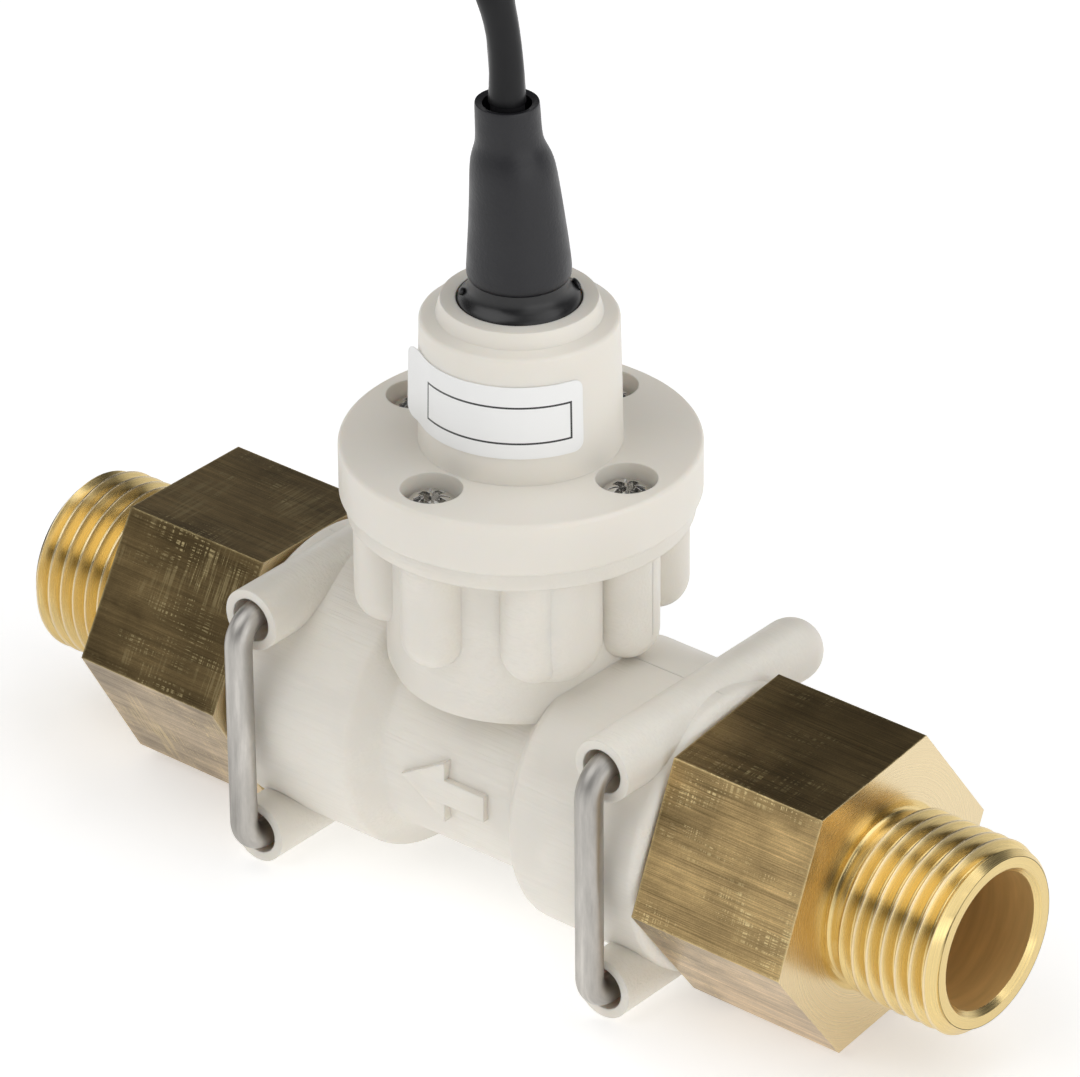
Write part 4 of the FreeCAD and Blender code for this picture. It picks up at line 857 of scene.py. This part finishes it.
# The band: where it starts and how far it goes round the neck, the radius that gives its length, its
# round corners, its strips, its gap to the neck, and how high what share of its first end lifts.
BAND_START, BAND_SWEEP = math.radians(-137), math.radians(124)
BAND_RADIUS = 10.55 * MM
BAND_CORNER = 1.1 * MM
BAND_STRIPS = 60
BAND_GAP = 0.02 * MM
BAND_LIFT, BAND_LOOSE = 0.9 * MM, 0.13


def neck_radius(height):
    """Outside of the neck at a height above the pipe axis."""
    share = (height - NECK_FOOT) / (NECK_SHOULDER - NECK_FOOT)
    wide, narrow = NECK_RADII
    return (wide + (narrow - wide) * share) * MM


class METER_OT_white_band(bpy.types.Operator):
    """Wraps the bare white band round the neck, one end of it lifting"""

    bl_idname = "meter.white_band"
    bl_label = "White band"

    def execute(self, context):
        low, high = sizes().band_low, sizes().band_high
        height = high - low
        length = BAND_SWEEP * BAND_RADIUS
        bpy.ops.mesh.primitive_plane_add(size=1, location=(length / 2, height / 2, 0))
        band = active()
        band.scale = (length, height, 1)
        freeze(band)
        edit(band)
        bpy.ops.mesh.bevel(offset=BAND_CORNER, segments=5, affect="VERTICES")
        for step in range(1, BAND_STRIPS):
            bpy.ops.mesh.select_all(action="SELECT")
            bpy.ops.mesh.bisect(plane_co=(length * step / BAND_STRIPS, 0, 0), plane_no=(1, 0, 0))
        close_edit()
        layer = band.data.uv_layers.active.data
        for loop in band.data.loops:
            spot = band.data.vertices[loop.vertex_index].co
            layer[loop.index].uv = (spot.x / MM, spot.y / MM)
        modify(band, "SOLIDIFY", thickness=sizes().band_thickness, offset=1.0)
        for vertex in band.data.vertices:
            along, up, out = vertex.co
            share = along / length
            level = low + up
            lift = BAND_LIFT * max(0.0, 1 - share / BAND_LOOSE) ** 2
            radius = neck_radius(level) + out + BAND_GAP + lift
            angle = BAND_START + BAND_SWEEP * share
            vertex.co = (radius * math.cos(angle), radius * math.sin(angle), PIPE.z + level)
        face_out(band)
        settle(band, "white_band", HOUSING, [band_finish()], smooth=50)
        return {"FINISHED"}


# --- Wire clips ---


class METER_OT_wire_clips(bpy.types.Operator):
    """Finishes the two spring-wire clips"""

    bl_idname = "meter.wire_clips"
    bl_label = "Wire clips"

    def execute(self, context):
        wire = wire_finish()
        for node, name in (("inlet_clip", "inlet_wire_clip"), ("outlet_clip", "outlet_wire_clip")):
            dressed(node, name, node, wire, smooth=40)
        return {"FINISHED"}


# --- Grommet and sleeve ---


# Specks of flash on the grommet: direction in degrees, then distance out, height above the cap's rim
# and radius in millimetres; all have one form and one lean.
GROMMET_FLASHES = ((55, 6.1, 0.5, 0.62), (219, 5.9, 0.55, 0.62))
FLASH_FORM = (0.55, 1.5, 0.75)
FLASH_LEAN = (0.3, -0.5)


def gloss_grommet():
    """The grommet in the cap's mouth, with its specks of flash."""
    gloss = rubber_finish("gloss grommet", (0.010, 0.010, 0.011), 0.3, grain=500)
    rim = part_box("sensor_cap")[1].z
    rings = [(Vector((0, 0, rim + height * MM)), radius * MM) for height, radius in GROMMET_RINGS]
    settle(lathed(rings), "gloss_grommet", HOUSING, [gloss], ["cable_grommet"], smooth=40)
    for number, (turn, out, rise, size) in enumerate(GROMMET_FLASHES, start=1):
        angle = math.radians(turn)
        spot = (out * MM * math.cos(angle), out * MM * math.sin(angle), rim + rise * MM)
        bpy.ops.mesh.primitive_ico_sphere_add(subdivisions=2, radius=size * MM, location=spot)
        nib = active()
        nib.scale = FLASH_FORM
        nib.rotation_euler = (*FLASH_LEAN, angle)
        settle(nib, f"grommet_flash_{number}", HOUSING, [gloss], smooth=60)


def shrunk_sleeve():
    """The sleeve that is shrunk over the grommet's spout and the cable."""
    low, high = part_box("cable_sleeve")
    height = high.z - low.z
    mouth = Vector(CABLE_ROUTE[0])
    lean = Vector((mouth.x, mouth.y, 0))
    rings = [
        (lean * shift + Vector((0, 0, low.z + height * share)), radius * MM)
        for share, radius, shift in SLEEVE_RINGS
    ]
    sleeve = lathed(rings)
    modify(sleeve, "SOLIDIFY", thickness=0.75 * MM, offset=-1.0)
    modify(sleeve, "BEVEL", width=0.2 * MM, segments=3, angle_limit=math.radians(50))
    modify(sleeve, "SUBSURF", levels=1)
    black = tuple(colours().sleeve)
    material = rubber_finish("shrunk sleeve", black, 0.38, grain=2600, depth=0.00007, sheen=0.42)
    settle(sleeve, "shrunk_sleeve", HOUSING, [material], ["cable_sleeve"], smooth=60)


class METER_OT_grommet_and_sleeve(bpy.types.Operator):
    """Finishes the gloss grommet and shapes the shrunk sleeve over it"""

    bl_idname = "meter.grommet_and_sleeve"
    bl_label = "Grommet and sleeve"

    def execute(self, context):
        gloss_grommet()
        shrunk_sleeve()
        return {"FINISHED"}


# --- Signal cable and its hank ---


# The hank's laps: points round each loop, how far out they stand so that the cable runs on its line,
# where the right-hand loop drops by a strand, and half of a flank's length.
LAP_STEPS = 10
LAP_SLACK = 1.015
DROP_START, DROP_SWEEP = math.radians(-92), math.radians(107)
FLANK_REACH = 6.5 * MM


def hank_lap(middle, spread, fold, strand, height, last=False):
    """Control points of one lap: right-hand loop, far flank, left-hand loop, near flank."""
    reach = math.hypot(spread / 2, strand / 2)
    tangent = math.acos(fold / reach) + math.atan2(strand / 2, spread / 2)
    level = height - strand
    points = []
    for side in (1, -1):
        centre = middle + Vector((side * spread / 2, 0, 0))
        start = tangent - math.pi if side > 0 else tangent
        sweep = 2 * (math.pi - tangent)
        for step in range(LAP_STEPS + 1):
            angle = start + sweep * step / LAP_STEPS
            spot = centre + way_out(angle) * (fold * LAP_SLACK)
            drop = 1.0
            if side > 0:
                drop = min(1.0, max(0.0, (angle - DROP_START) / DROP_SWEEP))
                drop = drop * drop * (3 - 2 * drop)
            points.append(Vector((spot.x, spot.y, height - strand * drop)))
        if last and side < 0:
            break
        flank = middle.y + side * strand / 2
        for along in (side * FLANK_REACH, 0.0, -side * FLANK_REACH):
            widen = abs(along) * math.tan(math.asin((fold - strand / 2) / (spread / 2)))
            points.append(Vector((middle.x + along, flank + side * widen, level)))
    return points


def hank_points():
    """Control points of the hank's two laps, the second under the first."""
    tie_low, tie_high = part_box("hank_tie")
    low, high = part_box("cable_hank")
    strand = sizes().cable_diameter
    middle = (tie_low + tie_high) / 2
    outside = (high.y - low.y) / 2
    fold = outside - strand / 2
    spread = high.x - low.x - 2 * outside
    upper = low.z + 2.5 * strand
    points = hank_lap(middle, spread, fold, strand, upper)
    points += hank_lap(middle, spread, fold, strand, upper - strand, last=True)
    return points


# The three cores: their colours, radius, spacing and direction, and one core's points as distance
# along in millimetres, share of its spread, and drop in millimetres. The tips follow straight on.
CORE_COLOURS = {"red": (0.5, 0.02, 0.015), "black": (0.015, 0.015, 0.015), "white": (0.7, 0.7, 0.68)}
CORE_RADIUS = 0.55 * MM
CORE_SPACING = 1.2 * MM
CORE_WAY = Vector((0.45, 0.89, 0)).normalized()
CORE_POINTS = ((0, 0.45, 0.0), (3, 0.9, 0.4), (5, 1.4, 0.0), (7, 1.8, 0.0))
TIP_DIAMETER = 0.8 * MM
TIP_POINTS = (0, 2, 4)


def lead_wire(name, start, offset, material, tinned):
    """One insulated core that droops to the standing surface, with its tinned tip."""
    spread = Vector((-CORE_WAY.y, CORE_WAY.x, 0)) * offset
    points = []
    for along, share, drop in CORE_POINTS:
        points.append(start + CORE_WAY * along * MM + spread * share - Vector((0, 0, drop * MM)))
    for point in points[2:]:
        point.z = CORE_RADIUS
    core = cord_curve(name, points, 2 * CORE_RADIUS)
    heading = (points[-1] - points[-2]).normalized()
    tip_points = [points[-1] + heading * along * MM for along in TIP_POINTS]
    tip = cord_curve(name + "_tip", tip_points, TIP_DIAMETER)
    core.data.materials.append(material)
    tip.data.materials.append(tinned)
    for piece in (core, tip):
        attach(piece, HOUSING)
    return [core, tip]


class METER_OT_signal_cable(bpy.types.Operator):
    """Lays the cable from the sleeve to its tied hank, with its bare ends"""

    bl_idname = "meter.signal_cable"
    bl_label = "Signal cable"

    def execute(self, context):
        diameter = sizes().cable_diameter
        points = [Vector(point) for point in CABLE_ROUTE]
        points += hank_points()
        points += [Vector(point) for point in CABLE_END]
        cable = cord_curve("signal_cable", points, diameter, CABLE_WIDTHS)
        jacket = rubber_finish("cable jacket", tuple(colours().jacket), 0.36, grain=700, sheen=0.26)
        cable.data.materials.append(jacket)
        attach(cable, HOUSING)
        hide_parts("cable_run", "cable_hank")
        tie = plain_finish("hank tie", (0.02, 0.02, 0.02), 0.5, grain=800)
        band = dressed("hank_tie", "tie_band", HOUSING, tie)
        tinned = plain_finish("tinned copper", (0.62, 0.60, 0.56), 0.3, 1.0)
        pieces = [band]
        for number, (word, shade) in enumerate(CORE_COLOURS.items()):
            core = plain_finish(f"{word} core", shade, 0.35)
            offset = (number - 1) * CORE_SPACING
            pieces += lead_wire(f"{word}_core", points[-1], offset, core, tinned)
        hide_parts("lead_wires")
        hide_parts("lead_tips")
        return {"FINISHED"}


# --- Inner works ---

# Each inner finish: its name, colour, roughness and share of metal, and the nodes that have it.
INNER_FINISHES = (
    ("black seal", (0.02, 0.02, 0.02), 0.45, 0.0, ("cap_o_ring", "inlet_o_ring", "outlet_o_ring")),
    ("white carrier", (0.78, 0.76, 0.70), 0.4, 0.0, ("inlet_straightener", "outlet_straightener")),
    ("dark polymer", (0.05, 0.05, 0.055), 0.35, 0.0, ("inlet_bearing", "outlet_bearing")),
    ("white rotor", (0.80, 0.79, 0.75), 0.35, 0.0, ("rotor",)),
    ("ferrite", (0.06, 0.06, 0.065), 0.45, 0.3, ("rotor_magnets",)),
    ("ground steel", (0.58, 0.58, 0.57), 0.22, 1.0, ("rotor_shaft",)),
    ("green board", (0.02, 0.16, 0.06), 0.35, 0.0, ("sensor_board",)),
    ("black package", (0.02, 0.02, 0.02), 0.4, 0.0, ("hall_sensor",)),
    ("dark parts", (0.10, 0.08, 0.06), 0.4, 0.0, ("board_parts",)),
    ("core insulation", (0.5, 0.02, 0.015), 0.35, 0.0, ("core_wires",)),
    ("dark retainer", (0.03, 0.03, 0.03), 0.5, 0.0, ("cable_retainer",)),
    ("inner jacket", (0.02, 0.02, 0.022), 0.4, 0.0, ("cable_entry",)),
)


class METER_OT_inner_works(bpy.types.Operator):
    """Gives the rotor, its carriers, the seals and the sensor their finishes"""

    bl_idname = "meter.inner_works"
    bl_label = "Inner works"

    def execute(self, context):
        for name, base, rough, metallic, nodes in INNER_FINISHES:
            material = plain_finish(name, base, rough, metallic)
            for node in nodes:
                mesh = frame["nodes"][node].data
                mesh.materials.clear()
                mesh.materials.append(material)
        return {"FINISHED"}


# --- Stage ---

# The camera: its direction from the pipe's middle as turn and rise, its roll, its distance, how far
# it looks past that middle to the side and up, and its lens and sensor in millimetres.
VIEW_TURN = math.radians(40.12)
VIEW_RISE = math.radians(29.95)
VIEW_ROLL = math.radians(-0.479)
VIEW_DISTANCE = 0.76583
VIEW_ASIDE = (-0.001727, 0.021389)
VIEW_LENS = 240.43
VIEW_SENSOR = 36

# The soft boxes look at a point above the pipe: place, side of the square and power of each.
LAMP_TARGET = PIPE + Vector((0, 0, 0.02))
SOFT_BOXES = {
    "key": ((-0.4, -0.6, 1.05), 1.2, 7.4),
    "side": ((1.2, -0.1, 0.5), 1.6, 8.6),
    "back": ((0.35, 0.4, 1.15), 1.0, 5.0),
}

# The surrounds' grey, from straight down at 0 over eye level at 0.5 to straight up at 1.
SURROUNDS = ((0.0, 0.95), (0.5, 0.92), (0.58, 0.8), (0.64, 0.25), (0.70, 0.07), (1.0, 0.10))

# The floor lies just under the meter and glows a little.
FLOOR_SIZE = 12
FLOOR_LEVEL = -0.0002
FLOOR_GLOW = 0.42


def camera():
    """A long lens from the inlet's side, looking down on the meter."""
    turn, level = VIEW_TURN, math.cos(VIEW_RISE)
    back = Vector((math.sin(turn) * level, -math.cos(turn) * level, math.sin(VIEW_RISE)))
    right = way_out(turn)
    up = back.cross(right)
    rolled_right = right * math.cos(VIEW_ROLL) + up * math.sin(VIEW_ROLL)
    rolled_up = up * math.cos(VIEW_ROLL) - right * math.sin(VIEW_ROLL)
    place = PIPE + back * VIEW_DISTANCE - rolled_right * VIEW_ASIDE[0] + rolled_up * VIEW_ASIDE[1]
    data = bpy.data.cameras.new("camera")
    data.lens = VIEW_LENS
    data.sensor_width = VIEW_SENSOR
    made = add_object("camera", data)
    facing = Matrix((rolled_right, rolled_up, back)).transposed().to_4x4()
    made.matrix_world = Matrix.Translation(place) @ facing
    bpy.context.scene.camera = made


def soft_box(name, place, size, power):
    """A square area lamp that looks at the lamps' target."""
    data = bpy.data.lights.new(name, "AREA")
    data.shape = "SQUARE"
    data.size = size
    data.energy = power
    lamp = add_object(name, data)
    lamp.location = place
    lamp.rotation_euler = (LAMP_TARGET - Vector(place)).to_track_quat("-Z", "Y").to_euler()


def surrounds():
    """A dim studio above and pale light at and below eye level."""
    world = bpy.data.worlds.new("studio")
    bpy.context.scene.world = world
    world.use_nodes = True
    nodes = Nodes(world.node_tree)
    shift = nodes.node("MapRange", {"From Min": -1})
    nodes.link(nodes.split("Generated")[2], shift.inputs["Value"])
    shade = nodes.ramp(shift.outputs[0], *SURROUNDS)
    nodes.link(shade, nodes.tree.nodes["Background"].inputs["Color"])


def floor_finish():
    """Pale, with a glow of its own, so that the meter's shadow stays faint."""
    finish = Finish("pale floor", (0.86, 0.86, 0.86), 0.9)
    glow = finish.node("Emission", {"Color": (1, 1, 1, 1), "Strength": FLOOR_GLOW})
    add = finish.node("AddShader")
    output = finish.tree.nodes["Material Output"]
    finish.link(finish.shader.outputs[0], add.inputs[0])
    finish.link(glow.outputs[0], add.inputs[1])
    finish.link(add.outputs[0], output.inputs["Surface"])
    return finish.material


class METER_OT_stage(bpy.types.Operator):
    """Puts up the floor, the soft light and the camera"""

    bl_idname = "meter.stage"
    bl_label = "Stage"

    def execute(self, context):
        bpy.ops.mesh.primitive_plane_add(size=FLOOR_SIZE, location=(0, 0, FLOOR_LEVEL))
        floor = active()
        floor.name = "floor"
        freeze(floor)
        floor.data.materials.append(floor_finish())
        for name, (place, size, power) in SOFT_BOXES.items():
            soft_box(name, place, size, power)
        surrounds()
        camera()
        context.scene.view_settings.view_transform = "Standard"
        return {"FINISHED"}


class METER_PT_panel(bpy.types.Panel):
    """Colours, sizes and the steps that dress the meter"""

    bl_idname = "METER_PT_panel"
    bl_label = "Flow Meter"
    bl_space_type = "VIEW_3D"
    bl_region_type = "UI"
    bl_category = "Flow Meter"

    def draw(self, context):
        for group in (context.scene.meter_colours, context.scene.meter_sizes):
            box = self.layout.box()
            for name in group.__annotations__:
                box.prop(group, name)
        for operator in OPERATORS:
            self.layout.operator(operator.bl_idname)


OPERATORS = (
    METER_OT_brass_fittings,
    METER_OT_moulded_body,
    METER_OT_sensor_cap,
    METER_OT_white_band,
    METER_OT_wire_clips,
    METER_OT_grommet_and_sleeve,
    METER_OT_signal_cable,
    METER_OT_inner_works,
    METER_OT_stage,
)
CLASSES = (MeterColours, MeterSizes, *OPERATORS, METER_PT_panel)


def register():
    for item in CLASSES:
        bpy.utils.register_class(item)
    bpy.types.Scene.meter_colours = bpy.props.PointerProperty(type=MeterColours)
    bpy.types.Scene.meter_sizes = bpy.props.PointerProperty(type=MeterSizes)


def unregister():
    del bpy.types.Scene.meter_sizes
    del bpy.types.Scene.meter_colours
    for item in reversed(CLASSES):
        bpy.utils.unregister_class(item)


def main():
    register()
    for operator in OPERATORS:
        group, name = operator.bl_idname.split(".")
        getattr(getattr(bpy.ops, group), name)()


if __name__ == "__main__":
    main()
